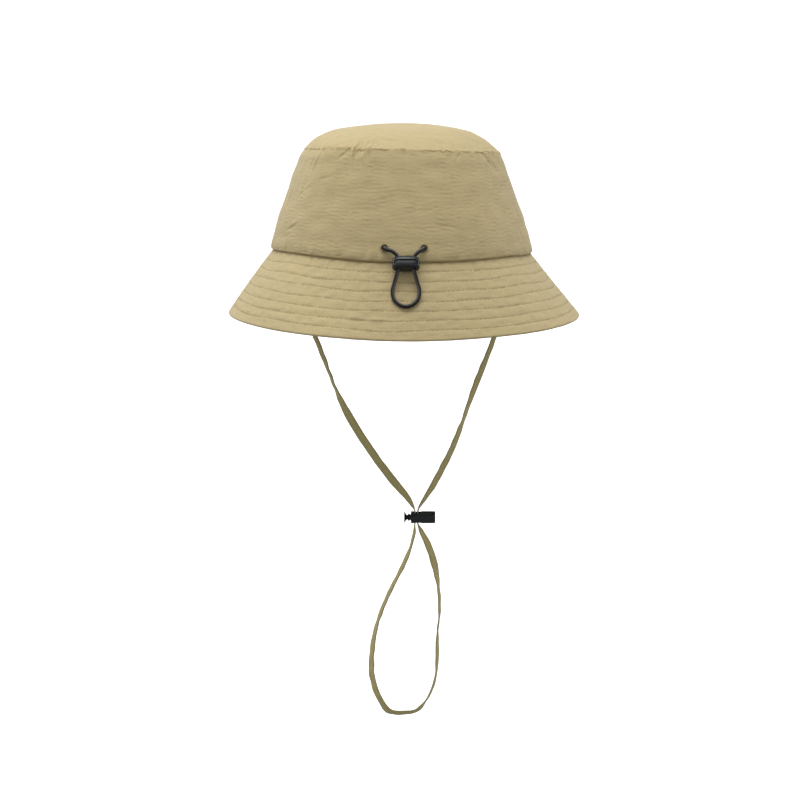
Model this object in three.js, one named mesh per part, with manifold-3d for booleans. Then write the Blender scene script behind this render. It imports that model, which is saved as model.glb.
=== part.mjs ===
// Fishing hat: a soft oval crown with a domed tip, a stitched sloping brim, an elastic size
// adjuster with a cord toggle at the back, and a chin strap with a push lock.
// Millimetres, +Z up. The origin is the middle of the head opening, at the height of the seam
// between crown and brim. The back of the hat, with the adjuster, faces -Y, and +X is the
// wearer's right.

import * as THREE from 'three';
import { mergeVertices } from 'three/addons/utils/BufferGeometryUtils.js';
import Module from 'manifold-3d';

const wasm = await Module();
wasm.setup();

// Crown sizes, measured on the outside of the cloth
const crownWidth = 185.6;
const crownLength = 198;
const crownHeight = 74;
const tipWidth = 141;
const tipLength = 156;
const tipRise = 17.3;
// How much higher than the middle the top seam stands at its left end, and lower at its right
const tipLean = 2.1;
// How square the ovals of the base and the tip are: 2 is an ellipse
const basePower = 2.04;
const tipPower = 2.25;
const seamTuck = 1.4;
const foldDepth = 2;
const gatherDepth = 0.5;
const gatherCount = 20;
// Share of the wall's height, and of the tip's radius, that the gathers reach from the seam
const gatherReach = 0.16;

// Brim, from the seam to the rim along its slope
const brimSlope = 54.4;
const brimWaveDepth = 0.8;

// Cloth
const clothThickness = 1.2;
const brimThickness = 2;
const seamGap = 0.3;
const aroundSteps = 80;

// Size adjuster: the middle of its eyelets across the back, how far to the right of that the
// toggle hangs, and how far the cord loop reaches down the brim
const adjusterOffset = 1.6;
const toggleShift = 1.1;
const adjusterReach = 31;

// Eyelets of the size adjuster
const eyeletSpacing = 25.8;
const eyeletHeight = 10.4;
const eyeletDiameter = 6.2;
const eyeletBore = 3.5;
const eyeletNeck = 4.7;
const eyeletRoll = 0.7;

// Elastic cord and its stop knots
const cordDiameter = 2.5;
const knotDiameter = 5.2;

// Cord toggle: width across, length along the cords, depth away from the brim, and its place:
// drop below the base seam along the brim, and lift off the brim, where the band carries it
const toggleWidth = 17.8;
const toggleLength = 8.8;
const toggleDepth = 9.6;
const toggleCorner = 4.2;
const toggleBevel = 1.7;
const toggleDrop = 2.8;
const toggleLift = 1.8;
const toggleBoreSpacing = 10.2;
const toggleBore = 3.4;
const windowHeight = 3.2;
const windowDrop = 0.9;
const sliderWidth = 15;
const sliderCorner = 2.8;
const sliderRecess = 0.8;
const sliderTravel = 1.2;
const sliderBackBar = 1;
const springSpace = 0.3;

// Chin strap tape
const tapeWidth = 6.2;
const tapeThickness = 1;
const tapeEdge = 0.3;

// Strap lock, its axis level along X
const lockX = 7;
const lockZ = -194.8;
const barrelLength = 17.9;
const barrelDiameter = 9;
const barrelFlutes = 14;
const fluteDepth = 0.3;
const barrelBore = 6.4;
const barrelEndWall = 1.7;
const strapHoleStart = 2.0;
const strapHoleLength = 5.6;
const strapHoleWidth = 4.9;
const plungerStem = 5.8;
const plungerHead = 8.2;
const plungerReach = 5.1;
const plungerStemLength = 8.5;
const plungerSlotStart = 0.35;
const plungerSlotLength = 5.35;
const plungerSlotWidth = 4.3;

// Clearance between plastic parts, and between a part and the cord or tape in it
const fit = 0.3;

// Wall sections: height as a share of the crown's, taper as a share of the way from the base
// oval to the tip oval, tuck as a share of the seam tuck
const wallSections = [
  { height: 0, taper: 0, tuck: 1 },
  { height: 0.03, taper: 0, tuck: 0 },
  { height: 0.17, taper: 0.1, tuck: 0 },
  { height: 0.34, taper: 0.265, tuck: 0 },
  { height: 0.52, taper: 0.47, tuck: 0 },
  { height: 0.7, taper: 0.67, tuck: 0 },
  { height: 0.86, taper: 0.865, tuck: 0 },
  { height: 1, taper: 1, tuck: 0 },
];

// Tip sections from the seam to the middle: radius and rise as shares of the tip's
const tipSections = [
  { radius: 1, rise: 0 },
  { radius: 0.915, rise: 0.2 },
  { radius: 0.82, rise: 0.45 },
  { radius: 0.68, rise: 0.7 },
  { radius: 0.48, rise: 0.86 },
  { radius: 0.25, rise: 0.965 },
  { radius: 0, rise: 1 },
];

// How the brim falls on each side of the hat: x and y are the side's direction, angle is below
// the horizontal at the seam, curl the degrees that it flattens by at the rim, and slope its
// length as a share of the brim's
const brimSides = [
  { x: 1, y: 0, angle: 50, curl: 1, slope: 1 },
  { x: 0, y: 1, angle: 59, curl: 3, slope: 1 },
  { x: -1, y: 0, angle: 47, curl: -9, slope: 0.965 },
  { x: 0, y: -1, angle: 60.3, curl: 3, slope: 1 },
];

// Brim sections from the rim to the seam: share of the slope length from the seam
const brimSections = [1, 0.96, 0.8, 0.6, 0.4, 0.2, 0];

// Soft folds of the crown: turn is the direction round the crown at the top seam in degrees
// from +X, drift what it turns by at the base, spread its half width in degrees, depth a share
// of the fold depth (ridges positive, hollows negative), low and high the shares of the height
// between which it grows to its full depth
const crownFolds = [
  { turn: 228, drift: -7, spread: 17, depth: 0.85, low: 0.1, high: 0.85 },
  { turn: 334, drift: -3, spread: 15, depth: 0.75, low: 0, high: 0.8 },
  { turn: 280, drift: 0, spread: 42, depth: -0.6, low: 0.35, high: 0.95 },
  { turn: 192, drift: 4, spread: 20, depth: -0.5, low: 0.2, high: 0.9 },
  { turn: 0, drift: -2, spread: 16, depth: -0.5, low: 0.1, high: 0.8 },
  { turn: 127, drift: 5, spread: 18, depth: 0.7, low: 0.15, high: 0.85 },
  { turn: 50, drift: -5, spread: 18, depth: 0.7, low: 0.1, high: 0.85 },
  { turn: 90, drift: 0, spread: 32, depth: -0.6, low: 0.3, high: 0.95 },
];

// Broad waves of the brim: how many go round, depth as a share of the wave depth, and the
// direction of a crest in degrees from +X
const brimWaves = [
  { count: 2, depth: 1, crest: 222 },
  { count: 5, depth: 0.5, crest: 238 },
  { count: 8, depth: 0.35, crest: 250 },
];

// Route of the chin strap's middle line: turn is how far the tape's face is turned away from
// the back of the hat in degrees, gather its width as a share of the full width
const strapRoute = [
  { x: -87.5, y: 0, z: 8.5, turn: 90, gather: 1 },
  { x: -87.5, y: 0, z: 3, turn: 90, gather: 1 },
  { x: -87.3, y: 0, z: -2, turn: 90, gather: 1 },
  { x: -85.6, y: 0.1, z: -7, turn: 90, gather: 1 },
  { x: -80.2, y: 0.4, z: -18, turn: 88, gather: 1 },
  { x: -74.5, y: 0.8, z: -31.5, turn: 84, gather: 1 },
  { x: -68.2, y: 1.2, z: -46.2, turn: 78, gather: 1 },
  { x: -61.9, y: 1.5, z: -62.1, turn: 75, gather: 1 },
  { x: -57.7, y: 1.6, z: -73.7, turn: 73, gather: 1 },
  { x: -53.5, y: 1.5, z: -85.4, turn: 81, gather: 1 },
  { x: -49.1, y: 1.2, z: -97.2, turn: 85, gather: 1 },
  { x: -43.7, y: 0.8, z: -109, turn: 61, gather: 1 },
  { x: -37.6, y: 0.4, z: -120.9, turn: 36, gather: 1 },
  { x: -30.7, y: 0.2, z: -132.7, turn: 26, gather: 1 },
  { x: -22.9, y: 0, z: -144.6, turn: 20, gather: 1 },
  { x: -14.6, y: 0, z: -156.7, turn: 20, gather: 1 },
  { x: -5.3, y: 0, z: -168.7, turn: 30, gather: 1 },
  { x: 4, y: 0, z: -180.8, turn: 64, gather: 0.8 },
  { x: 8.2, y: 0, z: -186.3, turn: 82, gather: 0.64 },
  { x: 9.85, y: 0, z: -189.8, turn: 90, gather: 0.6 },
  { x: 10.05, y: 0, z: -192.1, turn: 90, gather: 0.6 },
  { x: 10.05, y: 0, z: -197.6, turn: 90, gather: 0.6 },
  { x: 9.95, y: 0, z: -200.2, turn: 90, gather: 0.6 },
  { x: 9.2, y: 0.2, z: -205.9, turn: 85, gather: 0.72 },
  { x: 6.3, y: 0.6, z: -217.3, turn: 85, gather: 0.95 },
  { x: 1.7, y: 1, z: -229.5, turn: 76, gather: 1 },
  { x: -4.1, y: 1.4, z: -241.9, turn: 81, gather: 1 },
  { x: -10.2, y: 1.7, z: -254.2, turn: 78, gather: 1 },
  { x: -15.1, y: 1.9, z: -266.6, turn: 81, gather: 1 },
  { x: -19.3, y: 2, z: -279.1, turn: 80, gather: 1 },
  { x: -21.5, y: 2, z: -291.6, turn: 75, gather: 1 },
  { x: -22.9, y: 1.9, z: -304.2, turn: 71, gather: 1 },
  { x: -22.7, y: 1.7, z: -316.8, turn: 65, gather: 1 },
  { x: -19.7, y: 1.4, z: -329.4, turn: 65, gather: 1 },
  { x: -15.1, y: 1.1, z: -338.7, turn: 64, gather: 1 },
  { x: -10.4, y: 0.8, z: -345.6, turn: 68, gather: 1 },
  { x: -5.9, y: 0.5, z: -347, turn: 72, gather: 1 },
  { x: 1.5, y: 0, z: -347, turn: 78, gather: 1 },
  { x: 7.9, y: -0.4, z: -346.5, turn: 86, gather: 1 },
  { x: 12.9, y: -0.7, z: -343.9, turn: 78, gather: 1 },
  { x: 17.7, y: -0.9, z: -337.9, turn: 84, gather: 1 },
  { x: 22, y: -1.1, z: -329.5, turn: 90, gather: 1 },
  { x: 25.5, y: -1.2, z: -316.9, turn: 90, gather: 1 },
  { x: 26.2, y: -1.2, z: -304.3, turn: 79, gather: 1 },
  { x: 26.3, y: -1.1, z: -291.7, turn: 81, gather: 1 },
  { x: 26.8, y: -1, z: -279.2, turn: 90, gather: 1 },
  { x: 27.9, y: -0.8, z: -266.6, turn: 84, gather: 1 },
  { x: 27.6, y: -0.6, z: -254.3, turn: 81, gather: 1 },
  { x: 26.2, y: -0.4, z: -241.9, turn: 74, gather: 1 },
  { x: 23.6, y: -0.3, z: -229.6, turn: 54, gather: 1 },
  { x: 19.7, y: -0.1, z: -217.3, turn: 59, gather: 0.95 },
  { x: 14.4, y: 0, z: -205.9, turn: 75, gather: 0.72 },
  { x: 12.05, y: 0, z: -200.2, turn: 90, gather: 0.6 },
  { x: 11.8, y: 0, z: -197.6, turn: 90, gather: 0.6 },
  { x: 11.8, y: 0, z: -192.1, turn: 90, gather: 0.6 },
  { x: 12, y: 0, z: -189.8, turn: 90, gather: 0.6 },
  { x: 13.5, y: 0, z: -186.3, turn: 82, gather: 0.64 },
  { x: 16.8, y: 0, z: -180.8, turn: 75, gather: 0.8 },
  { x: 23.9, y: 0, z: -168.7, turn: 66, gather: 1 },
  { x: 30.1, y: 0.1, z: -156.7, turn: 58, gather: 1 },
  { x: 35.9, y: 0.3, z: -144.6, turn: 66, gather: 1 },
  { x: 40.7, y: 0.5, z: -132.7, turn: 71, gather: 1 },
  { x: 45, y: 0.7, z: -120.9, turn: 80, gather: 1 },
  { x: 49, y: 0.8, z: -109, turn: 75, gather: 1 },
  { x: 53.1, y: 0.8, z: -97.2, turn: 66, gather: 1 },
  { x: 57.4, y: 0.8, z: -85.4, turn: 63, gather: 1 },
  { x: 62, y: 0.7, z: -73.7, turn: 70, gather: 1 },
  { x: 66.5, y: 0.6, z: -62.1, turn: 76, gather: 1 },
  { x: 71.9, y: 0.5, z: -46.2, turn: 80, gather: 1 },
  { x: 76.8, y: 0.3, z: -31.5, turn: 85, gather: 1 },
  { x: 81.6, y: 0.1, z: -18, turn: 88, gather: 1 },
  { x: 85.8, y: 0, z: -7, turn: 90, gather: 1 },
  { x: 87.3, y: 0, z: -2, turn: 90, gather: 1 },
  { x: 87.5, y: 0, z: 3, turn: 90, gather: 1 },
  { x: 87.5, y: 0, z: 8.5, turn: 90, gather: 1 },
];

// Colours and finishes seen on the object
const colours = {
  cloth: 0xb8a87a,
  thread: 0xa89568,
  tape: 0x8e8556,
  plastic: 0x2a2c2f,
  elastic: 0x2b2a2c,
};

// Basic maths shared by the shapes
const up = new THREE.Vector3(0, 0, 1);
const alongY = new THREE.Vector3(0, 1, 0);

function radians(degrees) {
  return THREE.MathUtils.degToRad(degrees);
}

function ramp(value, low, high) {
  return THREE.MathUtils.smoothstep(value, low, high);
}

// Value of one column of a table at a share, straight between its rows
function column(rows, key, name, share) {
  const last = rows.length - 1;
  let index = 0;
  while (index < last - 1 && share > rows[index + 1][key]) {
    index += 1;
  }
  const here = rows[index];
  const next = rows[index + 1];
  const part = THREE.MathUtils.clamp((share - here[key]) / (next[key] - here[key]), 0, 1);
  return THREE.MathUtils.lerp(here[name], next[name], part);
}

// Point of an oval whose power sets how square it is: 2 is an ellipse
function oval(halfWidth, halfLength, power, angle) {
  const cosine = Math.cos(angle);
  const sine = Math.sin(angle);
  const x = halfWidth * Math.sign(cosine) * Math.abs(cosine) ** (2 / power);
  const y = halfLength * Math.sign(sine) * Math.abs(sine) ** (2 / power);
  return new THREE.Vector3(x, y, 0);
}

// Level direction straight out of such an oval at one of its points
function ovalOutward(halfWidth, halfLength, power, point) {
  const x = Math.sign(point.x) * Math.abs(point.x / halfWidth) ** (power - 1) / halfWidth;
  const y = Math.sign(point.y) * Math.abs(point.y / halfLength) ** (power - 1) / halfLength;
  return new THREE.Vector3(x, y, 0).normalize();
}

// Sum of the crown's folds and seam gathers, outward, at a direction and a share of the height
function crownRelief(angle, height) {
  let sum = 0;
  for (const fold of crownFolds) {
    const middle = radians(fold.turn + fold.drift * (1 - height));
    const away = Math.abs(Math.atan2(Math.sin(angle - middle), Math.cos(angle - middle)));
    const across = 1 - ramp(away, 0, radians(fold.spread));
    sum += foldDepth * fold.depth * across * ramp(height, fold.low, fold.high);
  }
  const gather = ramp(height, 1 - gatherReach, 1);
  return sum + gatherDepth * gather * Math.sin(gatherCount * angle);
}

// Height that the leaning top seam adds at a point
function leanAt(x) {
  return -tipLean * x / (tipWidth / 2);
}

// Outer surface of the wall, from the base seam (share 0) to the top seam (share 1)
function wallSurface(angle, share) {
  const taper = column(wallSections, 'height', 'taper', share);
  const tuck = seamTuck * column(wallSections, 'height', 'tuck', share);
  const halfWidth = THREE.MathUtils.lerp(crownWidth, tipWidth, taper) / 2 - tuck;
  const halfLength = THREE.MathUtils.lerp(crownLength, tipLength, taper) / 2 - tuck;
  const power = THREE.MathUtils.lerp(basePower, tipPower, share);
  const point = oval(halfWidth, halfLength, power, angle);
  const outward = ovalOutward(halfWidth, halfLength, power, point);
  point.addScaledVector(outward, crownRelief(angle, share));
  const low = seamGap / 2;
  const high = crownHeight - seamGap / 2 + leanAt(point.x);
  point.z = THREE.MathUtils.lerp(low, high, share);
  return point;
}

// Outer surface of the tip, from the top seam (share 0) to its middle (share 1)
function tipSurface(angle, share) {
  const row = share * (tipSections.length - 1);
  const index = Math.min(Math.floor(row), tipSections.length - 2);
  const here = tipSections[index];
  const next = tipSections[index + 1];
  const radius = THREE.MathUtils.lerp(here.radius, next.radius, row - index);
  const rise = THREE.MathUtils.lerp(here.rise, next.rise, row - index);
  const point = oval(tipWidth / 2, tipLength / 2, tipPower, angle);
  const outward = ovalOutward(tipWidth / 2, tipLength / 2, tipPower, point);
  const edge = ramp(radius, 1 - 2 * gatherReach, 1);
  point.addScaledVector(outward, crownRelief(angle, 1));
  point.multiplyScalar(radius);
  const ripple = gatherDepth * edge * (1 - edge) * Math.sin(gatherCount * angle);
  const lean = leanAt(point.x) * radius * radius;
  point.z = crownHeight + seamGap / 2 + tipRise * rise + lean + ripple;
  return point;
}

// Value of one column of the brim's sides for an outward direction
function brimSide(name, outward) {
  return brimSides.reduce((sum, side) => {
    const share = Math.max(side.x * outward.x + side.y * outward.y, 0);
    return sum + side[name] * share * share;
  }, 0);
}

// Outer surface of the brim, from the rim (share 0) to the base seam (share 1)
function brimSurface(angle, share) {
  const slope = 1 - share;
  const halfWidth = crownWidth / 2 - seamTuck;
  const halfLength = crownLength / 2 - seamTuck;
  const point = oval(halfWidth, halfLength, basePower, angle);
  const outward = ovalOutward(halfWidth, halfLength, basePower, point);
  const length = brimSlope * brimSide('slope', outward) * slope;
  const fall = radians(brimSide('angle', outward) - brimSide('curl', outward) * slope / 2);
  let wave = 0;
  for (const row of brimWaves) {
    wave += brimWaveDepth * row.depth * Math.cos(row.count * (angle - radians(row.crest)));
  }
  wave *= slope * slope;
  const out = length * Math.cos(fall) + wave * Math.sin(fall);
  const down = length * Math.sin(fall) - wave * Math.cos(fall);
  point.addScaledVector(outward, out);
  point.z = -seamGap / 2 - down;
  return point;
}

// Outward normal of a surface that runs anticlockwise and upward
function surfaceNormal(surface, angle, share) {
  const step = 0.01;
  const low = Math.max(share - step, 0);
  const high = Math.min(share + step, 1);
  const around = surface(angle + step, share).sub(surface(angle - step, share));
  const rise = surface(angle, high).sub(surface(angle, low));
  return around.cross(rise).normalize();
}

// Closed wall of cloth behind a surface: rows are its shares from low to high. A level edge is
// cut flat so that it meets the next piece's level edge; a square edge follows the thickness.
// A share of 1 on a surface with a pole closes in one point.
function clothShell(surface, shares, thickness, { lowEdge, highEdge }) {
  const positions = [];
  const indices = [];
  const layers = [];
  const last = shares.length - 1;
  for (const depth of [0, thickness]) {
    const rows = shares.map((share, row) => {
      const pole = highEdge === 'pole' && row === last;
      const edge = row === 0 ? lowEdge : highEdge;
      const level = (row === 0 || row === last) && edge === 'level';
      const ring = [];
      for (let step = 0; step < (pole ? 1 : aroundSteps); step += 1) {
        const angle = 2 * Math.PI * step / aroundSteps;
        const point = surface(angle, share);
        const normal = pole ? up.clone() : surfaceNormal(surface, angle, share);
        if (level) {
          const inward = normal.clone().setZ(0);
          const span = inward.length();
          inward.normalize();
          point.addScaledVector(inward, -depth / span);
        } else {
          point.addScaledVector(normal, -depth);
        }
        ring.push(positions.length / 3);
        positions.push(point.x, point.y, point.z);
      }
      return ring;
    });
    layers.push(rows);
  }
  const [outer, inner] = layers;
  const join = (lower, upper) => {
    for (let step = 0; step < aroundSteps; step += 1) {
      const next = (step + 1) % aroundSteps;
      if (upper.length === 1) {
        indices.push(lower[step], lower[next], upper[0]);
      } else if (lower.length === 1) {
        indices.push(lower[0], upper[next], upper[step]);
      } else {
        indices.push(lower[step], lower[next], upper[next]);
        indices.push(lower[step], upper[next], upper[step]);
      }
    }
  };
  for (let row = 0; row < last; row += 1) {
    join(outer[row], outer[row + 1]);
    join(inner[row + 1], inner[row]);
  }
  join(inner[0], outer[0]);
  if (highEdge !== 'pole') {
    join(outer[last], inner[last]);
  }
  const geometry = new THREE.BufferGeometry();
  geometry.setAttribute('position', new THREE.Float32BufferAttribute(positions, 3));
  geometry.setIndex(indices);
  return geometry;
}

// Cutting and joining closed bodies
function solidOf(geometry) {
  const bare = geometry.clone();
  bare.deleteAttribute('normal');
  bare.deleteAttribute('uv');
  const merged = mergeVertices(bare, 1e-4);
  const vertProperties = new Float32Array(merged.attributes.position.array);
  const triVerts = new Uint32Array(merged.index.array);
  return new wasm.Manifold(new wasm.Mesh({ numProp: 3, vertProperties, triVerts }));
}

function geometryOf(solid) {
  const mesh = solid.getMesh();
  const geometry = new THREE.BufferGeometry();
  geometry.setAttribute('position', new THREE.Float32BufferAttribute(mesh.vertProperties, 3));
  geometry.setIndex(Array.from(mesh.triVerts));
  return geometry;
}

function cut(geometry, tools) {
  const solid = tools.reduce((body, tool) => body.subtract(solidOf(tool)), solidOf(geometry));
  return geometryOf(solid);
}

function joined(geometry, others) {
  const solid = others.reduce((body, other) => body.add(solidOf(other)), solidOf(geometry));
  return geometryOf(solid);
}

function placed(geometry, x, y, z) {
  geometry.translate(x, y, z);
  return geometry;
}

// Ring or pin turned about +Y from an outline of [radius, height] pairs
function turned(outline, segments) {
  const points = outline.map(([radius, height]) => new THREE.Vector2(radius, height));
  return new THREE.LatheGeometry(points, segments);
}

// Flat outline with round corners, centred on the origin
function roundedRectangle(width, height, corner) {
  const x = width / 2;
  const y = height / 2;
  const shape = new THREE.Shape();
  shape.moveTo(corner - x, -y);
  shape.lineTo(x - corner, -y);
  shape.absarc(x - corner, corner - y, corner, -Math.PI / 2, 0, false);
  shape.lineTo(x, y - corner);
  shape.absarc(x - corner, y - corner, corner, 0, Math.PI / 2, false);
  shape.lineTo(corner - x, y);
  shape.absarc(corner - x, y - corner, corner, Math.PI / 2, Math.PI, false);
  shape.lineTo(-x, corner - y);
  shape.absarc(corner - x, corner - y, corner, Math.PI, 1.5 * Math.PI, false);
  return shape;
}

// Pose of an eyelet: the middle of the cloth and the direction straight out of it
function eyeletPose(side) {
  const goal = adjusterOffset + side * eyeletSpacing / 2;
  const share = eyeletHeight / crownHeight;
  let angle = 1.5 * Math.PI;
  for (let turn = 0; turn < 20; turn += 1) {
    const point = wallSurface(angle, share);
    angle += (goal - point.x) / (crownLength / 2);
  }
  const normal = surfaceNormal(wallSurface, angle, share);
  const centre = wallSurface(angle, share).addScaledVector(normal, -clothThickness / 2);
  return { centre, normal };
}

const eyeletPoses = { left: eyeletPose(-1), right: eyeletPose(1) };

// The adjuster hangs on the brim's back slope. Its frame has x across, y up the slope and z
// straight off the cloth, with the origin on the base seam.
const seamBack = brimSurface(1.5 * Math.PI, 1);
const loopEnd = brimSurface(1.5 * Math.PI, 1 - adjusterReach / brimSlope);
const adjuster = new THREE.Group();
adjuster.position.set(adjusterOffset + toggleShift, seamBack.y, seamBack.z);
adjuster.rotation.x = Math.atan2(seamBack.z - loopEnd.z, seamBack.y - loopEnd.y);
adjuster.updateMatrixWorld();

function inAdjuster(point) {
  return adjuster.worldToLocal(point.clone());
}

function makeCrownBand() {
  const shares = wallSections.map((row) => row.height);
  const edges = { lowEdge: 'level', highEdge: 'level' };
  const wall = clothShell(wallSurface, shares, clothThickness, edges);
  const holes = Object.values(eyeletPoses).map(({ centre, normal }) => {
    const radius = eyeletNeck / 2 + fit;
    const drill = new THREE.CylinderGeometry(radius, radius, eyeletDiameter, 16);
    drill.applyQuaternion(new THREE.Quaternion().setFromUnitVectors(alongY, normal));
    return placed(drill, centre.x, centre.y, centre.z);
  });
  return cut(wall, holes);
}

function makeCrownTip() {
  const shares = tipSections.map((row, index) => index / (tipSections.length - 1));
  const edges = { lowEdge: 'level', highEdge: 'pole' };
  return clothShell(tipSurface, shares, clothThickness, edges);
}

function makeBrim() {
  const shares = brimSections.map((slope) => 1 - slope);
  const edges = { lowEdge: 'square', highEdge: 'level' };
  return clothShell(brimSurface, shares, brimThickness, edges);
}

// Thread-bound ring with a roll on each side of the cloth
function makeEyelet() {
  const bore = eyeletBore / 2;
  const neck = eyeletNeck / 2;
  const rim = eyeletDiameter / 2;
  const under = clothThickness / 2 + fit;
  const top = under + eyeletRoll;
  const outline = [
    [bore, -under],
    [(bore + rim) / 2, -top],
    [rim, -under],
    [neck, -under],
    [neck, under],
    [rim, under],
    [(bore + rim) / 2, top],
    [bore, under],
    [bore, -under],
  ];
  return turned(outline, 16);
}

// Cord along chosen points, its steps at the points of the curve's own spacing
class CordRoute extends THREE.CatmullRomCurve3 {
  constructor(points) {
    super(points, false, 'centripetal');
  }
}

// Tape along chosen points: each point is one step, turned and gathered as its row says
class TapeRoute extends THREE.CatmullRomCurve3 {
  constructor(rows) {
    super(rows.map((row) => new THREE.Vector3(row.x, row.y, row.z)));
    this.rows = rows;
  }

  getSpacedPoints() {
    return this.points.map((point) => point.clone());
  }

  computeFrenetFrames() {
    const frames = { tangents: [], normals: [], binormals: [] };
    const last = this.points.length - 1;
    this.rows.forEach((row, index) => {
      const before = this.points[Math.max(index - 1, 0)];
      const after = this.points[Math.min(index + 1, last)];
      const tangent = after.clone().sub(before).normalize();
      const level = new THREE.Vector3().crossVectors(alongY, tangent).normalize();
      const depth = new THREE.Vector3().crossVectors(tangent, level);
      const turn = radians(row.turn);
      const face = level.multiplyScalar(Math.cos(turn)).addScaledVector(depth, Math.sin(turn));
      const across = new THREE.Vector3().crossVectors(tangent, face).normalize();
      frames.tangents.push(tangent);
      frames.normals.push(face.multiplyScalar(row.gather));
      frames.binormals.push(across);
    });
    return frames;
  }
}

function makeChinStrap() {
  const x = tapeWidth / 2;
  const y = tapeThickness / 2;
  const section = new THREE.Shape([
    new THREE.Vector2(x, tapeEdge - y),
    new THREE.Vector2(x, y - tapeEdge),
    new THREE.Vector2(x - tapeEdge, y),
    new THREE.Vector2(tapeEdge - x, y),
    new THREE.Vector2(-x, y - tapeEdge),
    new THREE.Vector2(-x, tapeEdge - y),
    new THREE.Vector2(tapeEdge - x, -y),
    new THREE.Vector2(x - tapeEdge, -y),
  ]);
  const route = new TapeRoute(strapRoute);
  return new THREE.ExtrudeGeometry(section, {
    steps: strapRoute.length - 1,
    extrudePath: route,
    bevelEnabled: false,
  });
}

// One half of the elastic's middle line in the adjuster's frame, from the knot behind its
// eyelet to the lowest point of the loop
function elasticHalf(side) {
  const { centre, normal } = side < 0 ? eyeletPoses.left : eyeletPoses.right;
  const out = (distance) => inAdjuster(centre.clone().addScaledVector(normal, distance));
  const knot = clothThickness / 2 + 2 * fit + eyeletRoll + knotDiameter / 2;
  const bore = side * toggleBoreSpacing / 2;
  const lift = toggleDepth / 2 + toggleLift;
  const top = toggleLength / 2 - toggleDrop;
  const low = -toggleLength / 2 - toggleDrop;
  const end = -adjusterReach;
  const touch = cordDiameter / 2 + fit;
  return [
    out(-knot),
    out(-1),
    out(1.2),
    out(2.9).add(new THREE.Vector3(-side * 0.5, -0.6, 0)),
    new THREE.Vector3(side * 8.6, top + 4.4, lift + 1.7),
    new THREE.Vector3(bore + side * 0.6, top + 0.9, lift + 0.3),
    new THREE.Vector3(bore, top - 1.6, lift),
    new THREE.Vector3(bore, low + 1.6, lift),
    new THREE.Vector3(bore + side * 0.2, low - 1, lift - 0.2),
    new THREE.Vector3(side * 7.1, low - 7, touch + 1.9),
    new THREE.Vector3(side * 8.7, end + 10.4, touch + 0.5),
    new THREE.Vector3(side * 7.4, end + 4.7, touch),
    new THREE.Vector3(side * 4, end + 1.2, touch),
  ];
}

function makeElasticCord() {
  const left = elasticHalf(-1);
  const right = elasticHalf(1).reverse();
  const touch = cordDiameter / 2 + fit;
  const bottom = new THREE.Vector3(0, -adjusterReach, touch);
  const route = new CordRoute([...left, bottom, ...right]);
  const section = new THREE.Shape();
  section.absarc(0, 0, cordDiameter / 2, 0, 2 * Math.PI, false);
  const cord = new THREE.ExtrudeGeometry(section, {
    steps: 52,
    curveSegments: 4,
    extrudePath: route,
    bevelEnabled: false,
  });
  const knots = [left[0], right[right.length - 1]].map((point) => {
    const knot = new THREE.SphereGeometry(knotDiameter / 2, 12, 8);
    return placed(knot, point.x, point.y, point.z);
  });
  return joined(cord, knots);
}

// Toggle: an oval block with bevelled ends, two bores and a window for the slider
const sliderSlotLow = -cordDiameter / 2 - fit;
const sliderSlotHigh = cordDiameter / 2 + fit + sliderTravel;
const sliderBack = sliderSlotLow - sliderBackBar;
const sliderFront = toggleDepth / 2 - sliderRecess;

// A block in the toggle's own frame: x across, y along the cords, z off the cloth
function block(width, height, low, high, x, y) {
  return placed(new THREE.BoxGeometry(width, height, high - low), x, y, (low + high) / 2);
}

function makeToggleBody() {
  const width = toggleWidth - 2 * toggleBevel;
  const depth = toggleDepth - 2 * toggleBevel;
  const outline = roundedRectangle(width, depth, toggleCorner - toggleBevel);
  const body = new THREE.ExtrudeGeometry(outline, {
    depth: toggleLength - 2 * toggleBevel,
    bevelThickness: toggleBevel,
    bevelSize: toggleBevel,
    bevelSegments: 2,
    curveSegments: 3,
  });
  body.translate(0, 0, toggleBevel - toggleLength / 2);
  body.rotateX(-Math.PI / 2);
  const pocketBack = sliderBack - sliderTravel - springSpace;
  const pocketWidth = sliderWidth + 2 * fit;
  const pocket = block(pocketWidth, windowHeight, pocketBack, toggleDepth, 0, -windowDrop);
  const bores = [-1, 1].map((side) => {
    const bore = new THREE.CylinderGeometry(toggleBore / 2, toggleBore / 2, 2 * toggleLength, 16);
    return placed(bore, side * toggleBoreSpacing / 2, 0, 0);
  });
  return cut(body, [pocket, ...bores]);
}

function makeToggleSlider() {
  const depth = sliderFront - sliderBack;
  const thickness = windowHeight - 2 * fit;
  const slider = new THREE.ExtrudeGeometry(roundedRectangle(sliderWidth, depth, sliderCorner), {
    depth: thickness,
    curveSegments: 3,
    bevelEnabled: false,
  });
  slider.translate(0, 0, -thickness / 2);
  slider.rotateX(-Math.PI / 2);
  slider.translate(0, -windowDrop, (sliderFront + sliderBack) / 2);
  const slotWidth = cordDiameter + 2 * fit;
  const slots = [-1, 1].map((side) => {
    const x = side * toggleBoreSpacing / 2;
    return block(slotWidth, 2 * toggleLength, sliderSlotLow, sliderSlotHigh, x, 0);
  });
  return cut(slider, slots);
}

// Strap lock, made along +Y from the barrel's open end and turned to lie along +X
function alongX(geometry) {
  geometry.rotateZ(-Math.PI / 2);
  return geometry;
}

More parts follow.
